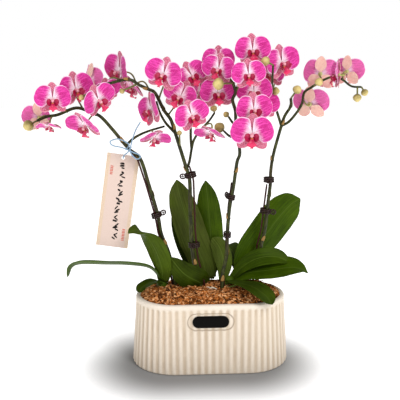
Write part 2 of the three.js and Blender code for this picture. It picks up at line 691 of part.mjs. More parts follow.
// Plants: a short crown standing in the medium, and the leaves that fold out of it.
// A leaf is its middle line from the crown to the tip, its width, the direction across it, and how
// deep its groove is towards its upper face.
const plants = [
  {
    name: "leafy_stem_1",
    crown: [-63, 13],
    leaves: [
      { line: [[-63, 12, 106], [-78, 11, 124], [-105, 8, 131], [-137, 4, 134], [-169, 0, 136], [-182, -2, 130], [-185, -4, 116]],
        width: 38, across: [0, -0.96, 0.28], groove: 4 },
      { line: [[-62, 8, 105], [-62, 0, 124], [-68, -6, 148], [-78, -12, 169], [-89, -18, 180], [-99, -23, 181], [-105, -27, 178]],
        width: 34, across: [0.9, -0.3, -0.4], groove: 3 },
      { line: [[-65, 8, 103], [-76, -6, 109], [-88, -22, 108], [-93, -30, 102]],
        width: 18, across: [0.6, -0.75, -0.1], groove: 2 },
    ],
  },
  {
    name: "leafy_stem_2",
    crown: [-6, 24],
    leaves: [
      { line: [[-7, 25, 101], [-12, 27, 124], [-21, 28, 155], [-31, 27, 189], [-39, 23, 217], [-43, 17, 238]],
        width: 37, across: [0.95, 0, 0.25], groove: 4 },
      { line: [[-9, 29, 101], [-24, 36, 130], [-35, 40, 165], [-42, 40, 200]],
        width: 28, across: [0.95, 0.1, 0.2], groove: 3 },
      { line: [[-3, 28, 101], [3, 36, 138], [2, 40, 172], [-1, 38, 207], [-4, 33, 234]],
        width: 34, across: [1, 0, 0], groove: 4 },
      { line: [[-9, 22, 101], [-24, 17, 109], [-38, 12, 124], [-49, 8, 140]],
        width: 26, across: [0.5, -0.7, -0.5], groove: 3 },
      { line: [[-4, 28, 103], [-4, 50, 125], [-10, 76, 128], [-16, 96, 112]],
        width: 34, across: [1, 0, 0], groove: 3 },
    ],
  },
  {
    name: "leafy_stem_3",
    crown: [27, 12],
    leaves: [
      { line: [[29, 12, 105], [50, 8, 115], [79, 2, 121], [104, -6, 126], [119, -11, 124], [127, -14, 118]],
        width: 40, across: [0, -0.9, -0.42], groove: 4 },
      { line: [[28, 14, 103], [44, 12, 122], [64, 9, 134], [88, 8, 136], [105, 4, 129]],
        width: 26, across: [0, -0.7, -0.7], groove: 3 },
      { line: [[27, 9, 105], [42, -12, 109], [58, -32, 108], [69, -48, 101], [73, -57, 92]],
        width: 25, across: [0.8, 0.6, 0], groove: 2.5 },
      { line: [[26, 15, 103], [27, 20, 126], [19, 25, 145], [7, 28, 157]],
        width: 20, across: [0.7, 0.3, 0.6], groove: 2 },
    ],
  },
  {
    name: "leafy_stem_4",
    crown: [48, 33],
    leaves: [
      { line: [[48, 34, 101], [58, 38, 132], [80, 41, 162], [98, 41, 186], [112, 37, 202], [123, 31, 209]],
        width: 46, across: [0.72, 0.1, -0.7], groove: 5 },
      { line: [[50, 36, 103], [66, 50, 124], [88, 68, 128], [106, 80, 112]],
        width: 34, across: [0.6, -0.6, 0], groove: 3 },
      { line: [[45, 36, 103], [38, 54, 128], [28, 74, 136], [20, 92, 124]],
        width: 32, across: [0.9, 0.4, 0], groove: 3 },
    ],
  },
];
const CROWN_RADIUS = 8;
const LEAF_OUTLINE = [[0, 0.45], [0.2, 0.74], [0.45, 0.98], [0.65, 1], [0.85, 0.78], [0.95, 0.45], [1, 0]];

function leaf({ line, width, across, groove }) {
  const curve = smooth(line.map(vec));
  const side = vec(across);
  const at = (t, s) => {
    const tangent = curve.getTangent(t);
    const reach = side.clone().addScaledVector(tangent, -side.dot(tangent)).normalize();
    const lift = new THREE.Vector3().crossVectors(tangent, reach);
    if (lift.z < 0) lift.negate();
    const share = outline(LEAF_OUTLINE, t);
    return curve
      .getPoint(t)
      .addScaledVector(reach, (width / 2) * share * s)
      .addScaledVector(lift, groove * share * (Math.abs(s) - 1));
  };
  return blade(at, [0, 0.2, 0.4, 0.6, 0.78, 0.92], RIDGED, LEAF_THICKNESS);
}

function leafyStem({ crown, leaves }) {
  const [x, y] = crown;
  const post = rod([CROWN_FLOOR + SEAT_GAP, 97, 108].map((z) => new THREE.Vector3(x, y, z)), CROWN_RADIUS, 6, 6);
  return joined([post, ...leaves.map(leaf)]);
}

for (const plant of plants) place(plant.name, leafyStem(plant), finishes.leaf);

// Stakes: rods beside three stems and behind the fourth. Each follows its stem from the foot up to
// a point, and is given with how far beside the stem its foot and its top are.
const stakes = [
  { spike: 0, to: 8.6, foot: [-5, 2], top: [-4.6, 1] },
  { spike: 1, to: 8, foot: [6, -2], top: [4.8, -1] },
  { spike: 2, to: 8.2, foot: [3, 4.6], top: [-2.6, 4] },
  { spike: 3, to: 7, foot: [-5, 2], top: [-4.4, 1.4] },
];
const UPRIGHT_TO = 2;

// The middle of a stake beside a point of its stem.
function stakePoint({ spike, to, foot, top }, at) {
  const share = Math.max(0, (at - UPRIGHT_TO) / (to - UPRIGHT_TO));
  const [x, y] = [0, 1].map((axis) => THREE.MathUtils.lerp(foot[axis], top[axis], share));
  return branchPoint(spikes[spike], 0, at).add(new THREE.Vector3(x, y, 0));
}

function stakePath(stake) {
  const stops = Array.from({ length: Math.ceil(stake.to) }, (_, at) => at);
  return [...stops, stake.to].map((at) => stakePoint(stake, at));
}

stakes.forEach((stake, index) => {
  place("stake_" + (index + 1), rod(stakePath(stake), STAKE_RADIUS, STAKE_RADIUS, 6), finishes.stake);
});

function growingMedium() {
  const holes = [
    ...plants.map((plant) => hole(plant.crown, CROWN_RADIUS + 1.8, CROWN_FLOOR)),
    ...spikes.map((spike) => hole(spike.foot, STEM_BASE_RADIUS + 0.8, HOLE_FLOOR)),
    ...stakes.map(({ spike, foot }) => hole(spikes[spike].foot.map((c, axis) => c + foot[axis]), STAKE_RADIUS + 0.6, HOLE_FLOOR)),
  ];
  return holes.reduce((all, cut) => all.subtract(cut), mound());
}

place("growing_medium", growingMedium(), finishes.coir);

// An outline of two half circles of so many steps each, their centres `half` either side.
function stadium(half, radius, steps) {
  return [1, -1].flatMap((turn) =>
    Array.from({ length: steps + 1 }, (_, k) => {
      const angle = (Math.PI * k) / steps - Math.PI / 2;
      return new THREE.Vector2(turn * (half + radius * Math.cos(angle)), turn * radius * Math.sin(angle));
    }),
  );
}

// A flat plate square to Z with a hole through it.
function loopPlate(outside, inside, depth) {
  const shape = new THREE.Shape(outside);
  shape.holes.push(new THREE.Path(inside.reverse()));
  return new THREE.ExtrudeGeometry(shape, { depth, bevelEnabled: false }).translate(0, 0, -depth / 2);
}

// Clips: each holds a stem to its stake, at a point of the stem, with its ring tab to one side of
// the pair or in front of it.
const clips = [
  { stake: 0, at: 6, tab: "right" },
  { stake: 1, at: 7.3, tab: "left" },
  { stake: 1, at: 4.5, tab: "front" },
  { stake: 2, at: 7.5, tab: "left" },
  { stake: 2, at: 5, tab: "left" },
  { stake: 3, at: 7.3, tab: "front" },
  { stake: 3, at: 5.9, tab: "right" },
];

function clip({ stake, at, tab }) {
  const { spike } = stakes[stake];
  const stem = branchPoint(spikes[spike], 0, at);
  const rodPoint = stakePoint(stakes[stake], at);
  const up = branchPoint(spikes[spike], 0, at + 0.2).sub(branchPoint(spikes[spike], 0, at - 0.2)).normalize();
  const across = rodPoint.clone().sub(stem);
  across.addScaledVector(up, -across.dot(up));
  const half = across.length() / 2;
  across.normalize();
  if (across.x < 0) across.negate();
  const grip = STEM_BASE_RADIUS + SEAT_GAP;
  const sleeve = loopPlate(stadium(half, grip + CLIP_WALL, 3), stadium(half + grip, grip, 1), CLIP_HEIGHT);
  const ring = loopPlate(stadium(0.8, 3.8, 2), stadium(0.8, 1.9, 2), 2.4).rotateX(Math.PI / 2);
  const reach = half + grip + CLIP_WALL + 3.4;
  const shift = { right: [reach, 0], left: [-reach, 0], front: [0, -grip - CLIP_WALL - 0.8] }[tab];
  ring.translate(...shift, 0);
  const frame = new THREE.Matrix4().makeBasis(across, new THREE.Vector3().crossVectors(up, across), up);
  const middle = stem.clone().lerp(rodPoint, 0.5);
  frame.setPosition(middle);
  return solidOf(sleeve.applyMatrix4(frame)).add(solidOf(ring.applyMatrix4(frame)));
}

clips.forEach((item, index) => place("clip_" + (index + 1), clip(item), finishes.clip));

// Gift tag: a card hanging a little askew behind the first stem, with a hole near its top edge.
const TAG_CENTRE = [-119, 3, 213.5];
const TAG_LEAN = -8.5;

function tag() {
  const shape = new THREE.Shape([
    new THREE.Vector2(-TAG_WIDTH / 2, -TAG_LENGTH / 2),
    new THREE.Vector2(TAG_WIDTH / 2, -TAG_LENGTH / 2),
    new THREE.Vector2(TAG_WIDTH / 2, TAG_LENGTH / 2),
    new THREE.Vector2(-TAG_WIDTH / 2, TAG_LENGTH / 2),
  ]);
  const eye = new THREE.Path();
  eye.absarc(0, TAG_LENGTH / 2 - 4.2, 2.2, 0, 2 * Math.PI, true);
  shape.holes.push(eye);
  return new THREE.ExtrudeGeometry(shape, { depth: TAG_THICKNESS, bevelEnabled: false, curveSegments: 4 })
    .rotateX(Math.PI / 2)
    .rotateY(THREE.MathUtils.degToRad(-TAG_LEAN))
    .translate(...TAG_CENTRE);
}

place("hang_tag", solidOf(tag()), finishes.card);

// Cord: out of the tag's hole, once round the stem, a wide loop to the left, a small one to the
// right, and a free tail that stands up.
const CORD_PATH = [
  [-110.7, 6, 268.4], [-110.7, 2.6, 269.2], [-109.2, -2, 272.8], [-104.2, -8.8, 277.6], [-102.2, -12.4, 281.1],
  [-100, -9, 284], [-103.3, -5.5, 282.3], [-106.5, -9.1, 280.6], [-104.3, -12.8, 283.9], [-102, -16, 287],
  [-106, -17.5, 291.5], [-116, -17, 295], [-125, -15.5, 292], [-122.5, -15, 287], [-112, -15.5, 284.5],
  [-104, -16, 281.6], [-97, -15.8, 278], [-90.5, -15, 275.6], [-88.6, -15, 271.6], [-93, -16.5, 270],
  [-98.5, -19, 275], [-101, -20, 281], [-99.5, -19, 288], [-97, -17, 297], [-93, -15, 307], [-88, -14, 315],
];

function cord() {
  const shape = new THREE.Shape();
  shape.absarc(0, 0, CORD_RADIUS, 0, 2 * Math.PI, false);
  const path = smooth(CORD_PATH.map(vec));
  const steps = Math.round(path.getLength() / (6 * CORD_RADIUS));
  return new THREE.ExtrudeGeometry(shape, { extrudePath: path, steps, curveSegments: 4, bevelEnabled: false });
}

place("tag_cord", solidOf(cord()), finishes.cord);

export default arrangement;
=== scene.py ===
# Potted moth orchid arrangement: four flowering plants in a ribbed oval stoneware planter, held to
# stakes by clips, with a gift tag on a cord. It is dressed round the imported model, in its frame.
# Sizes and places are in millimetres up to the mesh, which is in metres, with +Z up.
import math
import random

import bmesh
import bpy
import numpy as np
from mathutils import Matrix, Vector


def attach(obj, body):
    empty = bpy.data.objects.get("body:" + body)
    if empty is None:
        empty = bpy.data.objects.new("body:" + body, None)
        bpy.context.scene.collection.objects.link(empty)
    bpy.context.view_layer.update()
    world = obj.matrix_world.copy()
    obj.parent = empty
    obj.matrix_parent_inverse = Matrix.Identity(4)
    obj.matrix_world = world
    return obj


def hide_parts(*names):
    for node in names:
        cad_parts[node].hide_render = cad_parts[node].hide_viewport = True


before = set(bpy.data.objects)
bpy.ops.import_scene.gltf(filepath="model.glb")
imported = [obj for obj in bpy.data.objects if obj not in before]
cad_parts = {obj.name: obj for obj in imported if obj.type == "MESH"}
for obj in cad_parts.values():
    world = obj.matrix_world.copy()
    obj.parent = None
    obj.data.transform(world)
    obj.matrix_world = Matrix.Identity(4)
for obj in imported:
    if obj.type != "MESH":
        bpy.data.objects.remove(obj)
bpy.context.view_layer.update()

# Camera: at the height of the blooms, 850 mm in front of the planter, looking a little down and to
# the right.
CAMERA_PLACE = (-64.6, -850.0, 378.0)
CAMERA_DOWN = 0.19
CAMERA_RIGHT = 0.06
CAMERA_LENS = 60.75

camera_data = bpy.data.cameras.new("camera")
camera_data.lens = CAMERA_LENS
camera = bpy.data.objects.new("camera", camera_data)
camera.location = Vector(CAMERA_PLACE) / 1000
ahead = math.cos(CAMERA_DOWN)
look = Vector((math.sin(CAMERA_RIGHT) * ahead, math.cos(CAMERA_RIGHT) * ahead, -math.sin(CAMERA_DOWN)))
camera.rotation_euler = look.to_track_quat("-Z", "Y").to_euler()
bpy.context.collection.objects.link(camera)
bpy.context.scene.camera = camera
bpy.context.scene.view_settings.view_transform = "Standard"


# Cord: pale blue cotton twine of two strands twisted together. It comes out of the tag's hole, goes
# once round the first stem, makes a wide loop to the left and a small one to the right, and its
# free end stands up.
def linear(colour):
    """An sRGB hex colour as linear red, green, blue and alpha."""
    channels = [int(colour[i : i + 2], 16) / 255 for i in (1, 3, 5)]
    return (*[c / 12.92 if c <= 0.04045 else ((c + 0.055) / 1.055) ** 2.4 for c in channels], 1.0)


def feed(node, inputs):
    """Sets inputs of a node to a value, or links them from an output or from a node's main output."""
    for socket, value in inputs.items():
        if isinstance(value, bpy.types.Node):
            value = next(output for output in value.outputs if output.enabled)
        if isinstance(value, bpy.types.NodeSocket):
            node.id_data.links.new(value, node.inputs[socket])
        else:
            node.inputs[socket].default_value = value


def add_node(tree, kind, inputs=None, **settings):
    """Adds a node with its settings and inputs."""
    node = tree.nodes.new(kind)
    for name, value in settings.items():
        setattr(node, name, value)
    feed(node, inputs or {})
    return node


def new_finish(name, surface):
    """A material with its tree and shader. What is the same all over is set on the shader."""
    finish = bpy.data.materials.new(name)
    finish.use_nodes = True
    shader = finish.node_tree.nodes["Principled BSDF"]
    feed(shader, surface)
    return finish, finish.node_tree, shader


def mottled(name, scale, detail, dark, light, surface, gloss=None, relief=None, drawn=(1.0, 1.0, 1.0)):
    """A finish of one noise, which mottles it between two shades. The noise may also move its
    roughness (gloss, from and to), raise its skin (relief, strength and metres) and be drawn out."""
    finish, tree, shader = new_finish(name, surface)
    where = add_node(tree, "ShaderNodeTexCoord").outputs["Object"]
    laid = add_node(tree, "ShaderNodeMapping", {"Vector": where, "Scale": drawn})
    grain = add_node(tree, "ShaderNodeTexNoise", {"Vector": laid, "Scale": scale, "Detail": detail})
    shades = {0: grain, 6: linear(dark), 7: linear(light)}
    feed(shader, {"Base Color": add_node(tree, "ShaderNodeMix", shades, data_type="RGBA")})
    if gloss:
        span = {"Value": grain, "From Min": 0.3, "From Max": 0.7, "To Min": gloss[0], "To Max": gloss[1]}
        feed(shader, {"Roughness": add_node(tree, "ShaderNodeMapRange", span)})
    if relief:
        raised = {"Height": grain, "Strength": relief[0], "Distance": relief[1]}
        feed(shader, {"Normal": add_node(tree, "ShaderNodeBump", raised)})
    return finish


def wear(piece, slot, *nodes):
    """Rides a piece on the arrangement's one body, in place of its CAD nodes. The slot is not used."""
    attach(piece, "root")
    if nodes:
        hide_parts(*nodes)


class Skin:
    """The points and faces of one piece. Each point has its place in its part as shares along and
    across (share), the same in millimetres (flat), which face of a blade it is on (side), and the
    part's tone."""

    def __init__(self):
        self.points, self.faces, self.finish = [], [], []
        self.share, self.flat, self.side, self.tone = [], [], [], []

    def add(self, points, faces, share, flat, side=0.0, tone=0.0, finish=0):
        start = sum(len(part) for part in self.points)
        points = np.asarray(points, float).reshape(-1, 3)
        self.points.append(points)
        self.faces += [tuple(int(k) + start for k in face) for face in faces]
        self.share.append(np.asarray(share, float).reshape(-1, 2))
        self.flat.append(np.asarray(flat, float).reshape(-1, 2))
        self.side.append(np.broadcast_to(side, len(points)))
        self.tone.append(np.broadcast_to(tone, len(points)))
        self.finish += [finish] * len(faces)

    def piece(self, name, *finishes):
        mesh = bpy.data.meshes.new(name)
        mesh.from_pydata(np.vstack(self.points) / 1000, [], self.faces)
        corners = np.empty(len(mesh.loops), int)
        mesh.loops.foreach_get("vertex_index", corners)
        for layer, places in (("share", self.share), ("flat", self.flat)):
            uv = mesh.uv_layers.new(name=layer)
            uv.data.foreach_set("uv", np.vstack(places)[corners].ravel())
        for layer, values in (("side", self.side), ("tone", self.tone)):
            attribute = mesh.attributes.new(layer, "FLOAT", "POINT")
            attribute.data.foreach_set("value", np.concatenate(values))
        for finish in finishes:
            mesh.materials.append(finish)
        mesh.polygons.foreach_set("material_index", self.finish)
        mesh.shade_smooth()
        mesh.update()
        piece = bpy.data.objects.new(name, mesh)
        bpy.context.collection.objects.link(piece)
        return piece


def smooth_curve(points):
    """A Catmull-Rom curve: gives the points at places along it, with 1 for each step."""
    points = np.array(points, float)
    last = len(points) - 1
    padded = np.vstack([2 * points[0] - points[1], points, 2 * points[-1] - points[-2]])

    def at(places):
        places = np.clip(np.asarray(places, float), 0, last)
        step = np.minimum(places.astype(int), last - 1)
        w = (places - step)[..., None]
        a, b, c, d = (padded[step + k] for k in range(4))
        square, cube = 2 * a - 5 * b + 4 * c - d, 3 * b - a - 3 * c + d
        return 0.5 * (2 * b + (c - a) * w + square * w**2 + cube * w**3)

    at.steps = last
    return at


def unit(vectors):
    return vectors / np.maximum(np.linalg.norm(vectors, axis=-1, keepdims=True), 1e-9)


def path_axes(path):
    """Two axes across a path at each of its points, carried along without twisting."""
    tangents = unit(np.gradient(path, axis=0))
    side = np.array([0.0, 1.0, 0.0]) if abs(tangents[0][0]) > 0.9 else np.array([1.0, 0.0, 0.0])
    sides = []
    for tangent in tangents:
        side = unit(side - tangent * side.dot(tangent))
        sides.append(side)
    sides = np.array(sides)
    return sides, np.cross(tangents, sides)


def along_path(path):
    return np.concatenate([[0], np.cumsum(np.linalg.norm(np.diff(path, axis=0), axis=1))])


def loft_faces(rings, sides):
    """The faces of a closed skin over rings of points, whose two end points come last."""
    faces = []
    for ring in range(rings - 1):
        for k in range(sides):
            n = (k + 1) % sides
            row, above = ring * sides, (ring + 1) * sides
            faces.append((row + k, row + n, above + n, above + k))
    for k in range(sides):
        n = (k + 1) % sides
        top, ends = (rings - 1) * sides, rings * sides
        faces += [(top + k, top + n, ends + 1), (n, k, ends)]
    return faces


def add_tube(skin, path, radii, sides, finish=0, tone=0.0):
    """A closed round rod along a path. Its radii are one for all, for each point or for each side."""
    path = np.asarray(path, float)
    radii = np.asarray(radii, float)
    radii = np.broadcast_to(radii.reshape(len(radii), -1) if radii.ndim else radii, (len(path), sides))
    u, v = path_axes(path)
    angles = 2 * np.pi * np.arange(sides) / sides
    ring = np.cos(angles)[None, :, None] * u[:, None] + np.sin(angles)[None, :, None] * v[:, None]
    points = (path[:, None] + radii[..., None] * ring).reshape(-1, 3)
    along = along_path(path)
    round_share = np.abs(np.arange(sides) / sides * 2 - 1)
    share = np.dstack(np.meshgrid(round_share, along / along[-1])).reshape(-1, 2)
    flat = np.dstack(np.meshgrid(round_share, along)).reshape(-1, 2)
    points = np.vstack([points, path[0], path[-1]])
    share = np.vstack([share, [0.5, 0], [0.5, 1]])
    flat = np.vstack([flat, [0.5, 0], [0.5, along[-1]]])
    skin.add(points, loft_faces(len(path), sides), share, flat, finish=finish, tone=tone)


CORD_PATH = [
    [-110.7, 6, 268.4], [-110.7, 2.6, 269.2], [-109.2, -2, 272.8], [-104.2, -8.8, 277.6],
    [-102.2, -12.4, 281.1], [-100, -9, 284], [-103.3, -5.5, 282.3], [-106.5, -9.1, 280.6],
    [-104.3, -12.8, 283.9], [-102, -16, 287],
    [-106, -17.5, 291.5], [-116, -17, 295], [-125, -15.5, 292], [-122.5, -15, 287], [-112, -15.5, 284.5],
    [-104, -16, 281.6], [-97, -15.8, 278], [-90.5, -15, 275.6], [-88.6, -15, 271.6], [-93, -16.5, 270],
    [-98.5, -19, 275], [-101, -20, 281], [-99.5, -19, 288], [-97, -17, 297], [-93, -15, 307], [-88, -14, 315],
]
CORD_RADIUS = 0.9
STRAND_RADIUS = 0.62
TWIST_PITCH = 3.4
RINGS_PER_TWIST = 10

cord_curve = smooth_curve(CORD_PATH)
cord_fine = cord_curve(np.linspace(0, cord_curve.steps, 1200))
cord_along = along_path(cord_fine)
cord_length = cord_along[-1]
cord_steps = np.linspace(0, cord_length, int(cord_length / TWIST_PITCH * RINGS_PER_TWIST))
cord_line = np.column_stack([np.interp(cord_steps, cord_along, cord_fine[:, axis]) for axis in range(3)])
cord_u, cord_v = path_axes(cord_line)
twist = 2 * np.pi * cord_steps / TWIST_PITCH
cord_skin = Skin()
for strand in (0, math.pi):
    swing = np.cos(twist + strand)[:, None] * cord_u + np.sin(twist + strand)[:, None] * cord_v
    add_tube(cord_skin, cord_line + (CORD_RADIUS - STRAND_RADIUS) * swing, STRAND_RADIUS, 6)

# Soft spun cotton: matt, with a fuzzy nap that catches the light, and hairs finer than a pixel that
# are drawn as a mottle of 0.5 mm.
cotton = mottled(
    "spun cotton", 2000.0, 2.0, "#4c7698", "#a4c0d4", {"Roughness": 0.9, "Sheen Weight": 0.4, "IOR": 1.5},
    relief=(0.4, 0.0002),
)

cord = cord_skin.piece("cord", cotton)
wear(cord, "cord", "tag_cord")

# Planter: a slip-cast stoneware trough with rounded ends that leans in a little towards the top.
# Convex ribs run up its wall to a plain band below the rim, and a pill-shaped pad for the label is
# pressed into the front down to the line of the grooves.
POT_HEIGHT = 90
BASE_LENGTH, BASE_WIDTH = 206, 116
RIM_LENGTH, RIM_WIDTH = 194, 102
RIBS_ALONG_SIDE = 10
RIBS_ROUND_END = 20
RIB_POINTS = 12
RIB_DEPTH = 1.6
BAND_FOOT = 83.5
BAND_PROUD = 0.4
RIM_WALL = 6
RIM_OUTER_RADIUS, RIM_INNER_RADIUS = 2.8, 2
POT_FLOOR = 8
FOOT_RADIUS = 3
INNER_FOOT_RADIUS = 4
LABEL_CENTRE = (-3, 68.5)
PAD_LENGTH, PAD_HEIGHT = 58, 21
PAD_SPAN = (50, 84)
WALL_LEAN = math.atan((BASE_WIDTH - RIM_WIDTH) / 2 / POT_HEIGHT)


def outer_size(z):
    share = z / POT_HEIGHT
    return BASE_LENGTH + share * (RIM_LENGTH - BASE_LENGTH), BASE_WIDTH + share * (RIM_WIDTH - BASE_WIDTH)


def inner_size(z):
    length, width = outer_size(z)
    wall = RIM_WALL + 2 * (1 - z / POT_HEIGHT)
    return length - 2 * wall, width - 2 * wall


def oval(length, width, side_steps, end_steps):
    """Points and outward directions round two straights and two half circles, from the front."""
    radius = width / 2
    straight = length - width
    places, normals = [], []
    for turn in (1, -1):
        for k in range(side_steps):
            places.append((turn * (k / side_steps - 0.5) * straight, -turn * radius))
            normals.append((0, -turn))
        for k in range(end_steps):
            angle = math.pi * k / end_steps - math.pi / 2
            nx, ny = turn * math.cos(angle), turn * math.sin(angle)
            places.append((turn * straight / 2 + radius * nx, radius * ny))
            normals.append((nx, ny))
    return np.array(places), np.array(normals)


def ease(value, start, end):
    share = np.clip((value - start) / (end - start), 0, 1)
    return share * share * (3 - 2 * share)


def quarter(count):
    """How far a quarter round has risen and gone in, in `count` steps, as shares of its radius."""
    angles = [math.pi / 2 * k / count for k in range(count + 1)]
    return [(math.sin(angle), 1 - math.cos(angle)) for angle in angles]


# Each ring of the planter's skin: its height, how far it is drawn in from the wall's line, how much
# of the rib it has, and whether it belongs to the inside.
wall_rings = [(0.0, FOOT_RADIUS + 2, 0.0, False)]
wall_rings += [
    (FOOT_RADIUS * inward, FOOT_RADIUS * (1 - risen), k / 6, False)
    for k, (risen, inward) in enumerate(quarter(6))
]
wall_rings += [(z, 0.0, 1.0, False) for z in (8, 14, 22, 30, 38, 46, 52, *np.arange(55, 79.3, 0.6))]
for z in np.arange(79.6, BAND_FOOT + 2.1, 0.6):
    rise = float(ease(z, 81.0, BAND_FOOT + 2.3))
    wall_rings.append((z, -BAND_PROUD * rise, 1 - rise, False))
wall_rings += [
    (POT_HEIGHT - RIM_OUTER_RADIUS * (1 - risen), RIM_OUTER_RADIUS * inward - BAND_PROUD, 0.0, False)
    for risen, inward in quarter(8)
]
wall_rings += [
    (POT_HEIGHT - RIM_INNER_RADIUS * inward, RIM_INNER_RADIUS * (1 - risen), 0.0, True)
    for risen, inward in quarter(4)
]
wall_rings += [(z, 0.0, 0.0, True) for z in (84, 78, 60, 36, 16)]
wall_rings += [
    (POT_FLOOR + INNER_FOOT_RADIUS * (1 - risen), INNER_FOOT_RADIUS * inward, 0.0, True)
    for risen, inward in quarter(3)
]

side_steps = RIBS_ALONG_SIDE * RIB_POINTS
end_steps = RIBS_ROUND_END * RIB_POINTS
ring_count = 2 * (side_steps + end_steps)
rib_place = (np.arange(ring_count) % RIB_POINTS) / RIB_POINTS
rib_dip = (0.5 + 0.5 * np.cos(2 * np.pi * rib_place)) ** 1.1
pot_points, pot_share, pot_pad_shade = [], [], []
for z, inset, rib, inside in wall_rings:
    length, width = inner_size(z) if inside else outer_size(z)
    places, normals = oval(length, width, side_steps, end_steps)
    depth = inset + RIB_DEPTH * rib * rib_dip
    pad_shade_ring = np.zeros(ring_count)
    if inside:
        depth = -depth if z > POT_HEIGHT / 2 else depth
    elif PAD_SPAN[0] < z < PAD_SPAN[1]:
        beside = np.maximum(np.abs(places[:, 0] - LABEL_CENTRE[0]) - (PAD_LENGTH - PAD_HEIGHT) / 2, 0)
        above = (z - LABEL_CENTRE[1]) / math.cos(WALL_LEAN)
        beyond = np.hypot(beside, above) - PAD_HEIGHT / 2
        at_front = normals[:, 1] < -0.99
        pressed = (1 - ease(beyond, -0.7, 0.3)) * at_front
        # Painted shade: a ring along the pad's edge, darker as if its recess fell into shade.
        pad_shade_ring = np.exp(-(((beyond - 0.1) / 0.7) ** 2)) * at_front
        depth = depth * (1 - pressed) + RIB_DEPTH * pressed
    places = places - normals * depth[:, None]
    pot_points.append(np.column_stack([places, np.full(ring_count, z)]))
    pot_share.append(np.column_stack([1 - rib_dip * rib, np.full(ring_count, z / POT_HEIGHT)]))
    pot_pad_shade.append(pad_shade_ring)
pot_points = np.vstack([*pot_points, [[0, 0, 0], [0, 0, POT_FLOOR]]])
pot_share = np.vstack([*pot_share, [[0, 0], [0, 0]]])
pot_pad_shade = np.concatenate([*pot_pad_shade, [0, 0]])
pot_skin = Skin()
pot_faces = loft_faces(len(wall_rings), ring_count)
pot_skin.add(pot_points, pot_faces, pot_share, pot_share * POT_HEIGHT, tone=pot_pad_shade)

# Stoneware with a satin oatmeal glaze: soft highlights, darker in the grooves by painted shade, whiter at the
# band and the rim, with specks of iron, and a ring of painted shade round the label pad. Specks of 0.3 mm are
# drawn at 0.9 mm.
stoneware, tree, shader = new_finish("satin glazed stoneware", {"IOR": 1.5, "Specular IOR Level": 0.35})
where = add_node(tree, "ShaderNodeTexCoord").outputs["Object"]
places = add_node(tree, "ShaderNodeUVMap", uv_map="share")
parts = add_node(tree, "ShaderNodeSeparateXYZ", {"Vector": places}).outputs
# Painted shade: the colour is darkest in the grooves and lightest on the crests of the ribs.
off_groove_shade = add_node(tree, "ShaderNodeMapRange", {"Value": parts["X"]}, interpolation_type="SMOOTHSTEP")
at_rim = add_node(tree, "ShaderNodeMapRange", {"Value": parts["Y"], "From Min": 0.9})
cloud = add_node(tree, "ShaderNodeTexNoise", {"Vector": where, "Scale": 45.0, "Detail": 4.0})
specks = add_node(tree, "ShaderNodeTexNoise", {"Vector": where, "Scale": 1100.0, "Detail": 1.0})
speck = add_node(tree, "ShaderNodeMapRange", {
    "Value": specks, "From Min": 0.66, "From Max": 0.74, "To Max": 0.4,
})
# Painted shade: a dark ring round the label pad's edge, carried in the tone attribute.
pad_shade_ring = add_node(tree, "ShaderNodeAttribute", attribute_name="tone").outputs["Fac"]
pad_edge_painted_shade = add_node(tree, "ShaderNodeMath", {0: pad_shade_ring, 1: 0.75}, operation="MULTIPLY")
# The colour starts from the painted shade of the grooves.
glaze_and_shade = linear("#b39d83")
for share, colour in (
    (off_groove_shade, "#ebdfd0"), (cloud, "#dccdb9"), (at_rim, "#e6dacb"), (speck, "#a98d6e"), (pad_edge_painted_shade, "#8a745c"),
):
    glaze_and_shade = add_node(tree, "ShaderNodeMix", {0: share, 6: glaze_and_shade, 7: linear(colour)}, data_type="RGBA")
gloss = add_node(tree, "ShaderNodeMapRange", {
    "Value": cloud, "From Min": 0.3, "From Max": 0.7, "To Min": 0.5, "To Max": 0.66,
})
pitting = add_node(tree, "ShaderNodeBump", {"Height": specks, "Strength": 0.25, "Distance": 0.0003})
feed(shader, {"Base Color": glaze_and_shade, "Roughness": gloss, "Normal": pitting})

wear(pot_skin.piece("planter_body", stoneware), "ceramic", "planter")

# Label plate: a blank pill of black acrylic with rounded edges, stuck on the pad.
PLATE_LENGTH, PLATE_HEIGHT, PLATE_THICKNESS = 46, 15, 1.2
PLATE_EDGE = 0.4
PAD_GAP = 0.3

plate_lean = Vector((0, -math.cos(WALL_LEAN), math.sin(WALL_LEAN)))
plate_up = Vector((0, math.sin(WALL_LEAN), math.cos(WALL_LEAN)))
pad_y = -outer_size(LABEL_CENTRE[1])[1] / 2 + RIB_DEPTH
plate_centre = Vector((LABEL_CENTRE[0], pad_y - PAD_GAP, LABEL_CENTRE[1]))
plate_layers = [(0, 0)]
plate_layers += [(PLATE_THICKNESS - PLATE_EDGE * (1 - up), PLATE_EDGE * inward) for up, inward in quarter(4)]
plate_points = []
for height, drawn_in in plate_layers:
    places, _ = oval(PLATE_LENGTH - 2 * drawn_in, PLATE_HEIGHT - 2 * drawn_in, 8, 24)
    layer_centre = plate_centre + plate_lean * height
    plate_points += [layer_centre + Vector((x, 0, 0)) + plate_up * up for x, up in places]
plate_points += [plate_centre, plate_centre + plate_lean * PLATE_THICKNESS]
plate_points = np.array([tuple(point) for point in plate_points])
plate_flat = plate_points[:, [0, 2]]
plate_skin = Skin()
plate_skin.add(plate_points, loft_faces(len(plate_layers), len(places)), plate_flat, plate_flat)

# Cast acrylic, polished: deep black with only a faint reflection, since the room in front of it is
# dim, and rubbing marks 1 mm apart.
acrylic = mottled(
    "polished black acrylic", 900.0, 3.0, "#040303", "#0b0807", {"IOR": 1.49, "Specular IOR Level": 0.05},
    gloss=(0.16, 0.3),
)

plate = plate_skin.piece("plate_pill", acrylic)
plate.data.set_sharp_from_angle(angle=math.radians(50))
wear(plate, "plate", "label_plate")

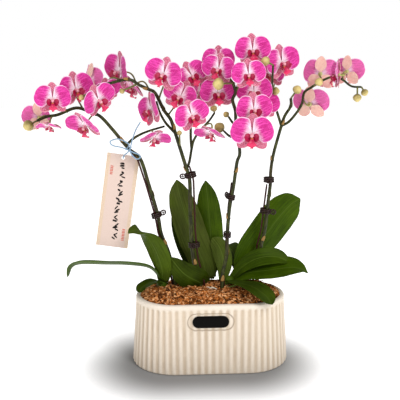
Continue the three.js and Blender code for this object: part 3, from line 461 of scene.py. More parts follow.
# Growing medium: fine bark and coconut coir, heaped a little in the middle. The heap is one rough
# surface, and loose bark crumbs and coir fibres lie all over it.
FILL_EDGE = 87.5
FILL_FOOT = 60.0
MOUND_RISE = 10
HEAP_GAP = 0.3
HEAP_RINGS = 44
HEAP_STEPS = 44
GRIT = 0.7
MOUND_SHARES = (0, 0.28, 0.5, 0.72, 0.9, 1)
MOUND_RISES = (1, 1, 0.95, 0.75, 0.4, 0)


def mound_height(x, y):
    """The height of the heap over a place, without its finest crumbs."""
    length, width = inner_size(FILL_EDGE)
    across = np.hypot(np.maximum(np.abs(x) - (length - width) / 2, 0), y)
    share = np.clip(across / (width / 2), 0, 1)
    lump = 1.2 * np.sin(x / 7 + y / 5) + 0.8 * np.cos(x / 4 - y / 6)
    rise = MOUND_RISE * np.interp(share, MOUND_SHARES, MOUND_RISES)
    return float(FILL_EDGE + rise + lump * ease(share, 1.0, 0.85) - 0.6)


def heap_outline(z, inset):
    length, width = (size - 2 * HEAP_GAP - 2 * inset for size in inner_size(z))
    return oval(length, width, HEAP_STEPS, HEAP_STEPS)[0]


grit = random.Random(4)
heap_points = [(x, y, FILL_FOOT) for x, y in heap_outline(FILL_FOOT, 2.0)]
heap_points += [(x, y, FILL_EDGE - 6) for x, y in heap_outline(FILL_EDGE - 6, 0.0)]
heap_top = heap_outline(FILL_EDGE, 0.0)
for ring in range(HEAP_RINGS):
    for x, y in heap_top * (1 - ring / HEAP_RINGS):
        heap_points.append((x, y, mound_height(x, y) + (grit.uniform(-GRIT, GRIT) if ring else 0.0)))
heap_points += [(0, 0, FILL_FOOT), (0, 0, mound_height(0, 0))]
heap_flat = np.array(heap_points)[:, :2]
heap_skin = Skin()
heap_skin.add(heap_points, loft_faces(HEAP_RINGS + 2, len(heap_top)), heap_flat, heap_flat, tone=0.1)

# Coir and composted bark: rough, dry and fully matt, orange-brown with darker bits, each crumb of
# one shade. The shade of a crumb is its own tone.
coir, tree, shader = new_finish("dry coir and bark", {
    "Roughness": 0.95, "IOR": 1.4, "Specular IOR Level": 0.2,
})
where = add_node(tree, "ShaderNodeTexCoord").outputs["Object"]
own_tone = add_node(tree, "ShaderNodeAttribute", attribute_name="tone").outputs["Fac"]
patch = add_node(tree, "ShaderNodeTexNoise", {"Vector": where, "Scale": 260.0, "Detail": 4.0})
spread = add_node(tree, "ShaderNodeMapRange", {
    "Value": patch, "From Min": 0.3, "From Max": 0.7, "To Min": -0.3, "To Max": 0.3,
})
shade = add_node(tree, "ShaderNodeMath", {0: own_tone, 1: spread}, operation="ADD", use_clamp=True)
light = add_node(tree, "ShaderNodeMapRange", {
    "Value": shade, "From Min": 0.72, "From Max": 1.15, "To Max": 0.9,
})
coir_colour = linear("#2a1004")
for share, colour in ((shade, "#e68a3e"), (light, "#ffd9a4")):
    mixed = {0: share, 6: coir_colour, 7: linear(colour)}
    coir_colour = add_node(tree, "ShaderNodeMix", mixed, data_type="RGBA")
fibre_grain = add_node(tree, "ShaderNodeTexNoise", {"Vector": where, "Scale": 1500.0, "Detail": 3.0})
crumbly = add_node(tree, "ShaderNodeBump", {"Height": fibre_grain, "Strength": 0.6, "Distance": 0.0005})
feed(shader, {"Base Color": coir_colour, "Normal": crumbly})

heap = heap_skin.piece("heap", coir)
wear(heap, "coir", "growing_medium")


def scatter(name, surface, values, build_crumb):
    """Strews crumbs over the upward faces of a surface by Geometry Nodes, as one plain mesh."""
    tree = bpy.data.node_groups.new(name, "GeometryNodeTree")
    tree.interface.new_socket("Geometry", in_out="INPUT", socket_type="NodeSocketGeometry")
    tree.interface.new_socket("Geometry", in_out="OUTPUT", socket_type="NodeSocketGeometry")
    sockets = {}
    for label, value in values.items():
        kind = "NodeSocketInt" if isinstance(value, int) else "NodeSocketFloat"
        sockets[label] = tree.interface.new_socket(label, in_out="INPUT", socket_type=kind).identifier
    given = add_node(tree, "NodeGroupInput").outputs
    facing = add_node(tree, "ShaderNodeSeparateXYZ", {"Vector": add_node(tree, "GeometryNodeInputNormal")})
    upward = add_node(tree, "FunctionNodeCompare", {0: facing.outputs["Z"], 1: 0.5}, operation="GREATER_THAN")
    strewn = add_node(tree, "GeometryNodeDistributePointsOnFaces", {
        "Mesh": given["Geometry"], "Selection": upward, "Density": given["Density"], "Seed": given["Seed"],
    })
    turn = add_node(tree, "FunctionNodeRandomValue", {
        0: (-0.7, -0.7, 0.0), 1: (0.7, 0.7, 6.28), "Seed": given["Seed"],
    }, data_type="FLOAT_VECTOR")
    size = add_node(tree, "FunctionNodeRandomValue", {
        0: (0.5, 0.5, 0.5), 1: (1.4, 1.3, 1.2), "Seed": given["Seed"],
    }, data_type="FLOAT_VECTOR")
    laid = add_node(tree, "GeometryNodeInstanceOnPoints", {
        "Points": strewn, "Instance": build_crumb(tree, given), "Rotation": turn, "Scale": size,
    })
    tone = add_node(tree, "FunctionNodeRandomValue", {
        2: 0.0, 3: 1.1, "Seed": given["Seed"],
    }, data_type="FLOAT")
    toned = add_node(tree, "GeometryNodeStoreNamedAttribute", {
        "Geometry": laid, "Name": "tone", "Value": tone,
    }, data_type="FLOAT", domain="INSTANCE")
    real = add_node(tree, "GeometryNodeRealizeInstances", {"Geometry": toned})
    finished = add_node(tree, "GeometryNodeSetMaterial", {"Geometry": real, "Material": coir})
    add_node(tree, "NodeGroupOutput", {"Geometry": finished})

    base = bpy.data.objects.new(name, surface.data.copy())
    bpy.context.collection.objects.link(base)
    modifier = base.modifiers.new(name, "NODES")
    modifier.node_group = tree
    for label, value in values.items():
        modifier[sockets[label]] = value
    mesh = bpy.data.meshes.new_from_object(base.evaluated_get(bpy.context.evaluated_depsgraph_get()))
    bpy.data.objects.remove(base)
    piece = bpy.data.objects.new(name, mesh)
    bpy.context.collection.objects.link(piece)
    return piece


def bark_crumb(tree, given):
    lump = add_node(tree, "GeometryNodeMeshIcoSphere", {"Radius": given["Radius"], "Subdivisions": 1})
    jag = add_node(tree, "FunctionNodeRandomValue", {
        0: (-0.0006, -0.0006, -0.0006), 1: (0.0006, 0.0006, 0.0006), "Seed": 3,
    }, data_type="FLOAT_VECTOR")
    return add_node(tree, "GeometryNodeSetPosition", {"Geometry": lump, "Offset": jag})


def coir_fibre(tree, given):
    bend = add_node(tree, "GeometryNodeCurveQuadraticBezier", {
        "Resolution": 4, "Start": (-0.004, 0.0, 0.0), "Middle": (0.0, 0.0022, 0.0028),
        "End": (0.004, 0.0, 0.0),
    })
    cross = add_node(tree, "GeometryNodeCurvePrimitiveCircle", {"Resolution": 3, "Radius": given["Radius"]})
    return add_node(tree, "GeometryNodeCurveToMesh", {
        "Curve": bend, "Profile Curve": cross, "Fill Caps": True,
    })


for name, radius, seed, build_crumb in (
    ("bark_crumbs", 0.0021, 5, bark_crumb), ("coir_fibres", 0.0003, 8, coir_fibre),
):
    wear(scatter(name, heap, {"Density": 150000.0, "Radius": radius, "Seed": seed}, build_crumb), "coir")

# Leafy stems: a short crown of leaf bases from which thick, stiff strap leaves fold out, each with
# a groove down its middle. They are grown, and stand loose in the medium.
CROWN = [(78.3, 7.2), (84, 7.8), (90, 8), (96, 7.8), (101, 7.2), (105, 5.6), (108, 3)]
LEAF_THICKNESS, LEAF_EDGE = 1.6, 0.5
LEAF_ROWS = 44
LEAF_COLUMNS = 17
POINTED_LEAF = [
    (0, 0.45), (0.15, 0.7), (0.3, 0.95), (0.42, 1), (0.55, 0.94), (0.7, 0.7), (0.85, 0.36), (0.95, 0.15),
    (1, 0.02),
]
BROAD_LEAF = [
    (0, 0.58), (0.12, 0.8), (0.25, 0.94), (0.4, 1), (0.55, 0.99), (0.7, 0.88), (0.83, 0.66), (0.92, 0.4),
    (0.975, 0.16), (1, 0.02),
]
LEAF_OUTLINE = [
    (0, 0.45), (0.1, 0.6), (0.2, 0.74), (0.32, 0.88), (0.45, 0.97), (0.56, 1), (0.66, 0.99), (0.76, 0.92),
    (0.85, 0.79), (0.91, 0.63), (0.955, 0.45), (0.985, 0.25), (1, 0.05),
]
PLANTS = {
    "leafy_stem_1": ((-63, 13), [
        ([[-63, 12, 106], [-78, 11, 124], [-105, 8, 131], [-137, 4, 134], [-169, 0, 136], [-182, -2, 130],
          [-185, -4, 116]],
         38, [0, -0.96, 0.28], 4, 0.5),
        ([[-62, 8, 105], [-62, 0, 124], [-68, -6, 148], [-78, -12, 169], [-89, -18, 180], [-99, -23, 181],
          [-105, -27, 178]],
         34, [0.9, -0.3, -0.4], 3, 0.75, POINTED_LEAF),
        ([[-65, 8, 103], [-76, -6, 109], [-88, -22, 108], [-93, -30, 102]], 18, [0.6, -0.75, -0.1], 2, 0.1),
    ]),
    "leafy_stem_2": ((-6, 24), [
        ([[-2, 21, 102], [-8, 24, 125], [-20, 27, 155], [-31, 27, 189], [-39, 23, 217], [-43, 17, 238]],
         40, [0.95, 0, 0.25], 4, 0.95, BROAD_LEAF),
        ([[-9, 29, 101], [-24, 36, 130], [-35, 40, 165], [-42, 40, 200]], 28, [0.95, 0.1, 0.2], 3, 0.15),
        ([[-3, 28, 101], [3, 36, 138], [2, 40, 172], [-1, 38, 207], [-4, 33, 234]],
         35, [1, 0, 0], 4, 0.35, BROAD_LEAF),
        ([[-6, 12, 99], [-17, 2, 106], [-35, -3, 118], [-53, -4, 140]],
         34, [0.67, 0.1, 0.74], 3, 0.05, BROAD_LEAF),
        ([[-4, 28, 103], [-4, 50, 125], [-10, 76, 128], [-16, 95, 112]], 34, [1, 0, 0], 3, 0.2),
    ]),
    "leafy_stem_3": ((27, 12), [
        ([[29, 12, 105], [50, 8, 115], [79, 2, 121], [104, -6, 126], [119, -11, 124], [127, -14, 118]],
         40, [0, -0.9, -0.42], 4, 0.35, POINTED_LEAF),
        ([[28, 14, 103], [44, 12, 122], [64, 9, 134], [88, 8, 136], [105, 4, 129]],
         26, [0, -0.7, -0.7], 3, 0.25),
        ([[25, 7, 104], [36, -14, 108], [52, -33, 109], [66, -48, 102], [73, -57, 92]],
         31, [0.8, 0.6, 0], 2.5, 0.15),
        ([[18, 14, 102], [20, 19, 123], [15, 25, 143], [5, 28, 157]], 25, [0.7, 0.3, 0.6], 2, 0.9),
    ]),
    "leafy_stem_4": ((48, 33), [
        ([[48, 34, 101], [58, 38, 132], [80, 41, 162], [98, 41, 186], [112, 37, 202], [123, 31, 209]],
         50, [0.72, 0.1, -0.7], 5, 0.4, BROAD_LEAF),
        ([[50, 36, 103], [66, 50, 124], [88, 68, 128], [106, 80, 112]], 34, [0.6, -0.6, 0], 3, 0.2),
        ([[45, 36, 103], [38, 54, 128], [28, 74, 136], [20, 92, 124]], 32, [0.9, 0.4, 0], 3, 0.2),
    ]),
}


def add_blade(skin, at, rows, columns, thickness, edge, finish=0, tone=0.0):
    """A closed thin blade over the surface at(t, s), t from root to tip and s from -1 to 1 across.
    It is `thickness` at the middle and `edge` at its rim."""
    t, s = np.meshgrid(rows, columns, indexing="ij")
    centre = at(t, s)
    along = np.gradient(centre, axis=0)
    across = np.gradient(centre, axis=1)
    normal = unit(np.cross(across, along))
    rim = np.maximum(np.abs(s) ** 4, ease(t, 0.9, 1.0))
    half = (thickness * (1 - rim) + edge * rim) / 2
    top = centre + normal * half[..., None]
    bottom = centre - normal * half[..., None]
    r, c = t.shape
    length = along_path(centre[:, c // 2])
    width = np.linalg.norm(centre - centre[:, c // 2][:, None], axis=2) * np.sign(s)
    flat = np.dstack([width, np.broadcast_to(length[:, None], t.shape)]).reshape(-1, 2)
    share = np.dstack([s * 0.5 + 0.5, t]).reshape(-1, 2)
    low = r * c
    faces = []
    for i in range(r - 1):
        for j in range(c - 1):
            a, b = i * c + j, (i + 1) * c + j
            faces.append((a, a + 1, b + 1, b))
            faces.append((low + a, low + b, low + b + 1, low + a + 1))
    for i in range(r - 1):
        a, b = i * c, (i + 1) * c
        faces.append((a, b, low + b, low + a))
        a, b = a + c - 1, b + c - 1
        faces.append((b, a, low + a, low + b))
    for j in range(c - 1):
        a, b = j, (r - 1) * c + j
        faces.append((a + 1, a, low + a, low + a + 1))
        faces.append((b, b + 1, low + b + 1, low + b))
    side = np.concatenate([np.zeros(low), np.ones(low)])
    skin.add(
        np.vstack([top.reshape(-1, 3), bottom.reshape(-1, 3)]), faces, np.vstack([share, share]),
        np.vstack([flat, flat]), side=side, tone=tone, finish=finish,
    )


def add_leaf(skin, wave, line, width, across, groove, tone, outline=LEAF_OUTLINE):
    """A strap leaf along its middle line, with its blade laid in the direction `across`."""
    curve = smooth_curve(line)
    steps = curve.steps
    across = np.array(across)
    outline_t, outline_w = zip(*outline)

    def at(t, s):
        tangent = unit(curve((t + 0.01) * steps) - curve((t - 0.01) * steps))
        reach = unit(across - tangent * (tangent @ across)[..., None])
        lift = np.cross(tangent, reach)
        if lift[..., 2].mean() < 0:
            lift = -lift
        share = np.interp(t, outline_t, outline_w)
        fold = groove * share * (np.abs(s) ** 1.15 - 1)
        ripple = 0.7 * s**2 * np.sign(s) * np.sin(7 * t + wave)
        aside = (width / 2) * share * s
        return curve(t * steps) + reach * aside[..., None] + lift * (fold + ripple)[..., None]

    rows = 1 - (1 - np.linspace(0, 1, LEAF_ROWS)) ** 1.25
    columns = np.sin(np.linspace(-np.pi / 2, np.pi / 2, LEAF_COLUMNS))
    add_blade(skin, at, rows, columns, LEAF_THICKNESS, LEAF_EDGE, tone=tone)


# Living leaf: a waxy skin that shines softly, with lighter blotches and faint veins that run from
# root to tip about 1.5 mm apart. The middle one shows as a pale line. A leaf's own tone runs from
# deep green through bright green to the grey-green of a leaf that shows its underside.
leaf_skin_finish, tree, shader = new_finish("waxy leaf", {"IOR": 1.45, "Specular IOR Level": 0.06})
where = add_node(tree, "ShaderNodeTexCoord").outputs["Object"]
flat_map = add_node(tree, "ShaderNodeUVMap", uv_map="flat")
flat_parts = add_node(tree, "ShaderNodeSeparateXYZ", {"Vector": flat_map})
tone = add_node(tree, "ShaderNodeAttribute", attribute_name="tone").outputs["Fac"]
stretched = add_node(tree, "ShaderNodeMapping", {"Vector": flat_map, "Scale": (0.7, 0.03, 1.0)})
veins = add_node(tree, "ShaderNodeTexNoise", {"Vector": stretched, "Scale": 1.0, "Detail": 3.0})
vein_mask = add_node(tree, "ShaderNodeMapRange", {"Value": veins, "From Min": 0.35, "From Max": 0.65})
blotch = add_node(tree, "ShaderNodeTexNoise", {"Vector": where, "Scale": 28.0, "Detail": 3.0})
dark_green, bright_green, grey_green = (
    add_node(tree, "ShaderNodeMix", {0: vein_mask, 6: linear(dark), 7: linear(light)}, data_type="RGBA")
    for dark, light in (("#181d03", "#263005"), ("#2e4302", "#3f5905"), ("#393f15", "#4a5222"))
)
to_bright = add_node(tree, "ShaderNodeMapRange", {"Value": tone, "From Max": 0.5})
to_grey = add_node(tree, "ShaderNodeMapRange", {"Value": tone, "From Min": 0.5})
blotched = add_node(tree, "ShaderNodeMapRange", {
    "Value": blotch, "From Min": 0.4, "From Max": 0.75, "To Max": 0.35,
})
from_middle = add_node(tree, "ShaderNodeMath", {0: flat_parts.outputs["X"]}, operation="ABSOLUTE")
midrib = add_node(tree, "ShaderNodeMapRange", {
    "Value": from_middle, "From Min": 0.2, "From Max": 0.9, "To Min": 0.22, "To Max": 0.0,
})
leaf_colour = dark_green
for share, colour in (
    (to_bright, bright_green), (to_grey, grey_green), (blotched, linear("#526a0c")),
    (midrib, linear("#6c8236")),
):
    mixed = {0: share, 6: leaf_colour, 7: colour}
    leaf_colour = add_node(tree, "ShaderNodeMix", mixed, data_type="RGBA")
wax = add_node(tree, "ShaderNodeMapRange", {
    "Value": blotch, "From Min": 0.3, "From Max": 0.7, "To Min": 0.36, "To Max": 0.5,
})
ribbing = add_node(tree, "ShaderNodeBump", {"Height": veins, "Strength": 0.25, "Distance": 0.0006})
feed(shader, {"Base Color": leaf_colour, "Roughness": wax, "Normal": ribbing})

for plant, (crown, leaves) in PLANTS.items():
    plant_skin = Skin()
    post = [[*crown, height] for height, _ in CROWN]
    add_tube(plant_skin, post, [radius for _, radius in CROWN], 20, tone=0.4)
    for k, leaf in enumerate(leaves):
        add_leaf(plant_skin, 1.7 * k, *leaf)
    wear(plant_skin.piece(plant.replace("leafy_stem", "leaf_fan"), leaf_skin_finish), "leaf", plant)

# Air roots: two thick roots of the third plant that lie on the medium, one dry and silver-white,
# one still fresh and green.
ROOTS = [
    ([[-6, 3, 92], [-5, -3, 97.5], [-1, -7, 97.5], [4, -11, 94], [8, -15, 91]], 1.7, 0.0),
    ([[-2, -5, 96], [1, -8, 99], [6, -9, 98], [10, -10, 96]], 1.2, 0.0),
    ([[8, -19, 90], [12, -15, 94.5], [22, -9, 98.5], [32, -4, 100], [42, 8, 101]], 1.5, 1.0),
]
ROOT_POINTS = 26

# Root skin: a spongy velamen, matt and papery when dry and slick green when fresh.
velamen, tree, shader = new_finish("root velamen", {"IOR": 1.4, "Roughness": 0.7})
where = add_node(tree, "ShaderNodeTexCoord").outputs["Object"]
own_tone = add_node(tree, "ShaderNodeAttribute", attribute_name="tone").outputs["Fac"]
grain = add_node(tree, "ShaderNodeTexNoise", {"Vector": where, "Scale": 700.0, "Detail": 3.0})
dry, fresh = (
    add_node(tree, "ShaderNodeMix", {0: grain, 6: linear(dark), 7: linear(light)}, data_type="RGBA")
    for dark, light in (("#b7ae95", "#f4efe0"), ("#7f9a35", "#b9c468"))
)
root_colour = add_node(tree, "ShaderNodeMix", {0: own_tone, 6: dry, 7: fresh}, data_type="RGBA")
papery = add_node(tree, "ShaderNodeBump", {"Height": grain, "Strength": 0.5, "Distance": 0.0004})
feed(shader, {"Base Color": root_colour, "Normal": papery})

root_skin = Skin()
for line, radius, freshness in ROOTS:
    curve = smooth_curve(line)
    path = curve(np.linspace(0, curve.steps, ROOT_POINTS))
    knobs = 1 + 0.12 * np.sin(np.linspace(0, 17, ROOT_POINTS))
    taper = np.linspace(1, 0.6, ROOT_POINTS)
    add_tube(root_skin, path, radius * knobs * taper, 12, tone=freshness)
wear(root_skin.piece("air_roots", velamen), "stem")

# Flower spikes: arching green stems with side branches, papery bracts at their joints, thin stalks
# that carry the blooms, and closed buds near the tips. They are grown, in one piece with the plant.
STEM_FOOT = (62.3, 80, 99)
STEM_BASE_RADIUS = 2.8
STEM_TIP_RADIUS = 1.8
BRANCH_TIP_RADIUS = 1.3
PEDICEL_RADIUS = 1.1
PEDICEL_SIDES = 10
PEDICEL_TONES = (0.3, 1)
BUD_SIDES = 24
HUB_BACK = 3
JOINT_SWELL = (0, 0.35, 0.5, 0.35, 0)
BRACT_LENGTH = 3.2
BRACT_HALF_ANGLE = 1.15
SPIKES = {
    "flower_spike_1": {
        "foot": (-46, 8),
        "branches": [
            [[-50, 8, 124], [-55, 8, 145], [-64, 5, 170], [-68, 2, 195], [-79, -2, 236], [-89, -6, 269],
             [-103, -9, 282], [-122, -12, 306], [-136, -14, 322], [-147, -15, 327], [-165, -17, 333],
             [-187, -19, 325], [-200, -20, 323], [-212, -22, 318]],
            [[-106, -10, 286], [-99, -8, 293], [-89, -5, 299], [-76, -3, 304], [-58, -1, 309]],
        ],
        "buds": [(0, 16, [-228, -26, 309], 7)],
        "joints": (4.4, 6.6, 8.1, 9.4, 11.5, 13.5),
    },
    "flower_spike_2": {
        "foot": (-13, 5),
        "branches": [
            [[-18, 6, 121], [-22, 5, 138], [-25, 3, 173], [-26, 0, 207], [-27, -2, 241], [-32, -4, 259],
             [-39, -6, 282], [-47, -8, 308], [-51, -9, 319], [-59, -10, 330], [-69, -11, 350],
             [-77, -12, 355], [-88, -14, 360], [-102, -16, 367], [-129, -18, 361], [-139, -19, 358]],
            [[-31, -3, 254], [-27, 0, 264], [-24, 3, 280], [-21, 4, 291], [-14, 4, 302], [-2, 4, 315],
             [5, 4, 325]],
            [[-46, -8, 302], [-57, -5, 314], [-64, -3, 327], [-68, 0, 340]],
            [[-24, 3, 280], [-25, 6, 296], [-24, 10, 318], [-20, 10, 350], [-18, 10, 366]],
        ],
        "buds": [
            (0, 17.5, [-158, -44, 345], 3.6), (0, 15.2, [-112, -24, 352], 3.4),
            (0, 9, [-40, -15, 305], 3.4), (1, 6, [3, -1, 335], 4.6),
        ],
        "joints": (3.4, 5.6, 7.7, 9.9, 12, 14.2, 16),
    },
    "flower_spike_3": {
        "foot": (15, -9),
        "branches": [
            [[15, -9, 116], [20, -9, 141], [21, -10, 170], [22, -10, 188], [24, -11, 209], [28, -12, 232],
             [32, -14, 264], [35, -18, 278], [29, -28, 311], [27, -35, 330], [23, -40, 343], [26, -43, 352],
             [23, -45, 363]],
            [[29, -28, 311], [24, -27, 316], [20, -26, 322]],
            [[32, -22, 295], [22, -20, 298], [15, -18, 304]],
        ],
        "buds": [(0, 15, [-2, -58, 362], 7.2), (1, 2, [14, -26, 328], 4), (2, 2, [4, -17, 313], 7)],
        "joints": (2.6, 4.1, 6.2, 8.6, 10.5),
    },
    "flower_spike_4": {
        "foot": (66, 26),
        "branches": [
            [[68, 24, 130], [70, 22, 149], [74, 18, 170], [76, 14, 199], [79, 11, 232], [79, 10, 249],
             [82, 9, 272], [91, 7, 308], [95, 6, 321], [102, 5, 333], [102, 5, 343]],
            [[91, 7, 308], [84, 6, 328], [75, 0, 345], [75, -10, 358], [73, -26, 373], [71, -40, 384]],
            [[91, 7, 308], [102, 6, 315], [115, 3, 334], [118, 1, 350], [127, 0, 357], [141, 4, 365],
             [157, 8, 370], [169, 10, 366], [180, 8, 358], [192, 4, 357]],
        ],
        "buds": [
            (0, 13, [109, -12, 358], 5.8), (1, 5, [56, -54, 390], 5.6), (1, 2.6, [86, -5, 352], 5.2),
            (2, 4.2, [130, -32, 365], 5.2), (2, 8.6, [186, 0, 338], 5.6), (2, 9, [198, 1, 346], 4.8),
        ],
        "joints": (4.3, 6.5, 8.7, 10.1, 12),
    },
}
# Blooms: where the throat of each is, how far it is turned from facing the viewer, how far it nods
# and rolls, its width, how far its tepals fold forward, the spike, branch and point that it hangs
# on, and the points on the way of a stalk that passes round another bloom.
BLOOMS = {
    "A": ([-188, -50, 345], 10, 5, 0, 43, 8, (1, 0, 13.6), []),
    "B": ([-164, -30, 356], 35, 5, -13, 47, 8, (1, 0, 12.6), []),
    "C": ([-151, 18, 367], 125, 0, -10, 44, 14, (2, 0, 18),
          [[-152, -18, 361], [-166, -6, 364], [-164, 12, 367]]),
    "D": ([-136, -46, 344], 40, 15, -30, 46, 8, (2, 0, 17.5), []),
    "E": ([-129, -4, 353], 35, 20, -20, 38, 8, (2, 0, 16.3), [[-120, -8, 369], [-127, 1, 365]]),
    "F": ([-113, 10, 376], -58, 0, 8, 56, 12, (2, 0, 15.4), []),
    "G": ([-97, 16, 358], -60, 35, 0, 44, 14, (2, 0, 14), []),
    "H": ([-153, -34, 314], -35, 40, 0, 48, 14, (1, 0, 11.6), []),
    "I": ([-214, 2, 320], -140, 10, 0, 42, 14, (1, 0, 15), []),
    "J": ([-197, -24, 313], -20, 70, 0, 33, 10, (1, 0, 14.4), []),
    "K": ([-59, -52, 373], -20, 0, 17, 46, 8, (2, 0, 12.6), []),
    "L": ([-39, -40, 347], -25, 0, 25, 46, 8, (2, 0, 11.4), []),
    "M": ([-25, -28, 371], 5, 0, -30, 42, 8, (2, 3, 3.6), []),
    "M3": ([-15, 0, 351], 45, 10, 0, 40, 10, (2, 3, 3), []),
    "Z": ([-27, -58, 326], 15, 10, -20, 44, 8, (2, 3, 1.4), []),
    "O": ([-74, -18, 330], -62, 0, -15, 50, 10, (2, 2, 2.6), []),
    "P": ([-71, -14, 297], 15, 55, 12, 42, 15, (1, 1, 3), []),
    "Q": ([6, -43, 379], -25, 0, 8, 42, 8, (3, 0, 15), []),
    "R": ([7, -26, 389], -5, 0, 0, 40, 8, (3, 0, 15), [[15, -30, 371], [11, -19, 378]]),
    "S": ([39, -60, 373], 0, 0, -5, 41, 8, (3, 0, 14), []),
    "T": ([47, -34, 401], 0, 0, -3, 44, 8, (3, 0, 14), []),
    "U": ([87, -6, 387], 25, 0, -10, 50, 8, (4, 1, 3), []),
    "U2": ([80, 22, 373], -40, 0, 0, 42, 10, (4, 1, 2), [[79, 12, 352], [85, 30, 362]]),
    "V": ([51, -20, 352], 0, 0, 0, 46, 8, (3, 0, 15), [[39, -26, 368], [47, -12, 361]]),
    "W": ([47, -50, 332], 10, 0, -5, 46, 8, (3, 0, 12), []),
    "W2": ([66, -2, 335], 0, 0, 0, 42, 8, (4, 1, 1.4), []),
    "X": ([44, -63, 305], -10, 5, 0, 52, 6, (3, 0, 10.5), []),
    "Y": ([6, -30, 351], 5, 5, -5, 46, 8, (3, 0, 15), [[19, -31, 367], [12, -21, 360]]),
    "AA": ([-2, -30, 304], -35, 60, 0, 42, 14, (2, 1, 4), []),
    "CC": ([144, 26, 373], 150, 0, 0, 50, 10, (4, 2, 5), []),
    "DD": ([154, -24, 372], -95, 0, 0, 44, 14, (4, 2, 6), []),
    "EE": ([180, 30, 376], 135, 0, 0, 46, 12, (4, 2, 7), []),
    "FF": ([130, 20, 335], 145, -20, 0, 52, 12, (4, 2, 2.4), []),
}


def bloom_turn(yaw, nod, roll):
    """The turn of a bloom that faces -Y with its top sepal up: rolled, then nodded, then turned."""
    y, x, r = (math.radians(angle) for angle in (yaw, nod, roll))
    about_z = np.array([[math.cos(y), -math.sin(y), 0], [math.sin(y), math.cos(y), 0], [0, 0, 1]])
    about_x = np.array([[1, 0, 0], [0, math.cos(x), -math.sin(x)], [0, math.sin(x), math.cos(x)]])
    about_y = np.array([[math.cos(r), 0, math.sin(r)], [0, 1, 0], [-math.sin(r), 0, math.cos(r)]])
    return about_z @ about_x @ about_y


def branch_curve(spike, branch):
    points = spike["branches"][branch]
    if branch == 0:
        points = [[*spike["foot"], z] for z in STEM_FOOT] + points
    return smooth_curve(points)


def add_pedicel(skin, spike, bloom):
    """The stalk from a branch to the back of a bloom, in an even arc or by the given points."""
    at, yaw, nod, roll, _, _, (_, branch, place), via = bloom
    start = branch_curve(spike, branch)(place)
    back = bloom_turn(yaw, nod, roll) @ np.array([0, 1, 0])
    end = np.array(at) + back * (HUB_BACK - 0.8)
    reach = np.linalg.norm(end - start)
    if via:
        curve = smooth_curve([start, *via, end])
        path = curve(np.linspace(0, curve.steps, 22))
    else:
        approach = end + back * reach * 0.4
        leave = (start + approach) / 2 + np.array([0, 0, reach * 0.12])
        t = np.linspace(0, 1, 16)[:, None]
        first_half = (1 - t) ** 3 * start + 3 * t * (1 - t) ** 2 * leave
        path = first_half + 3 * t**2 * (1 - t) * approach + t**3 * end
    share = np.linspace(0, 1, len(path))
    swell = np.interp(share, (0, 0.1, 0.75, 1), (1.25, 0.95, 0.9, 1.3))
    tone = np.interp(share, (0, 1), PEDICEL_TONES)
    tone = np.append(tone.repeat(PEDICEL_SIDES), PEDICEL_TONES)
    add_tube(skin, path, PEDICEL_RADIUS * swell, PEDICEL_SIDES, tone=tone)


def add_bud(skin, spike, bud):
    """A stalk and its closed bud of three sepals, seen as a drop with three seams."""
    branch, place, tip, radius = bud
    start = branch_curve(spike, branch)(place)
    end = np.array(tip, float)
    along = unit(end - start)
    root = end - along * 2 * radius
    stalk = np.linspace(start, root + along * 0.4 * radius, 8)
    add_tube(skin, stalk, PEDICEL_RADIUS, PEDICEL_SIDES, tone=0.5)
    t = np.linspace(0, 1, 18)[1:-1]
    seams = 1 - 0.07 * np.abs(np.cos(1.5 * 2 * np.pi * np.arange(BUD_SIDES) / BUD_SIDES)) ** 6
    profile = radius * np.sin(np.pi * t**0.92) ** 0.72
    path = root + along * (2 * radius * t)[:, None]
    add_tube(skin, path, profile[:, None] * seams, BUD_SIDES, finish=1)


def add_bract(skin, curve, place, radius, turn):
    """A joint of the stem: a slight ring, and a papery scale that hugs the stem above it."""
    foot, above = curve(place), curve(place + 0.05)
    up = unit(above - foot)
    across = unit(np.cross(up, [math.cos(turn), math.sin(turn), 0.3]))
    out = np.cross(across, up)
    ring = foot + up * np.linspace(-1.2, 1.2, len(JOINT_SWELL))[:, None]
    add_tube(skin, ring, radius + np.array(JOINT_SWELL), 12, tone=0.2)

    def at(t, s):
        swing = BRACT_HALF_ANGLE * s * (1 - t) ** 0.6
        hug = radius + 0.45 + 0.5 * t
        around = (np.cos(swing) * hug)[..., None] * out + (np.sin(swing) * hug)[..., None] * across
        return foot + around + (BRACT_LENGTH * radius * t)[..., None] * up

    add_blade(skin, at, np.linspace(0, 0.97, 8), np.linspace(-1, 1, 9), 0.5, 0.2, finish=2)


# Stem skin: smooth and a little shiny, deep green flushed with brown-purple, with yellow-green
# streaks along it. Stalks turn pale towards their bloom by their own tone.
stem_finish, tree, shader = new_finish("green stem", {"IOR": 1.45, "Specular IOR Level": 0.25})
where = add_node(tree, "ShaderNodeTexCoord").outputs["Object"]
tone = add_node(tree, "ShaderNodeAttribute", attribute_name="tone").outputs["Fac"]
stretch = add_node(tree, "ShaderNodeMapping", {"Vector": where, "Scale": (1.0, 1.0, 0.25)})
streak = add_node(tree, "ShaderNodeTexNoise", {"Vector": stretch, "Scale": 420.0, "Detail": 3.0})
streak_mask = add_node(tree, "ShaderNodeMapRange", {"Value": streak, "From Min": 0.4, "From Max": 0.7})
flush = add_node(tree, "ShaderNodeTexNoise", {"Vector": where, "Scale": 35.0, "Detail": 2.0})
flush_mask = add_node(tree, "ShaderNodeMapRange", {
    "Value": flush, "From Min": 0.5, "From Max": 0.7, "To Max": 0.5,
})
pale = add_node(tree, "ShaderNodeMapRange", {"Value": tone, "From Min": 0.2, "To Max": 0.85})
stem_colour = linear("#1e2008")
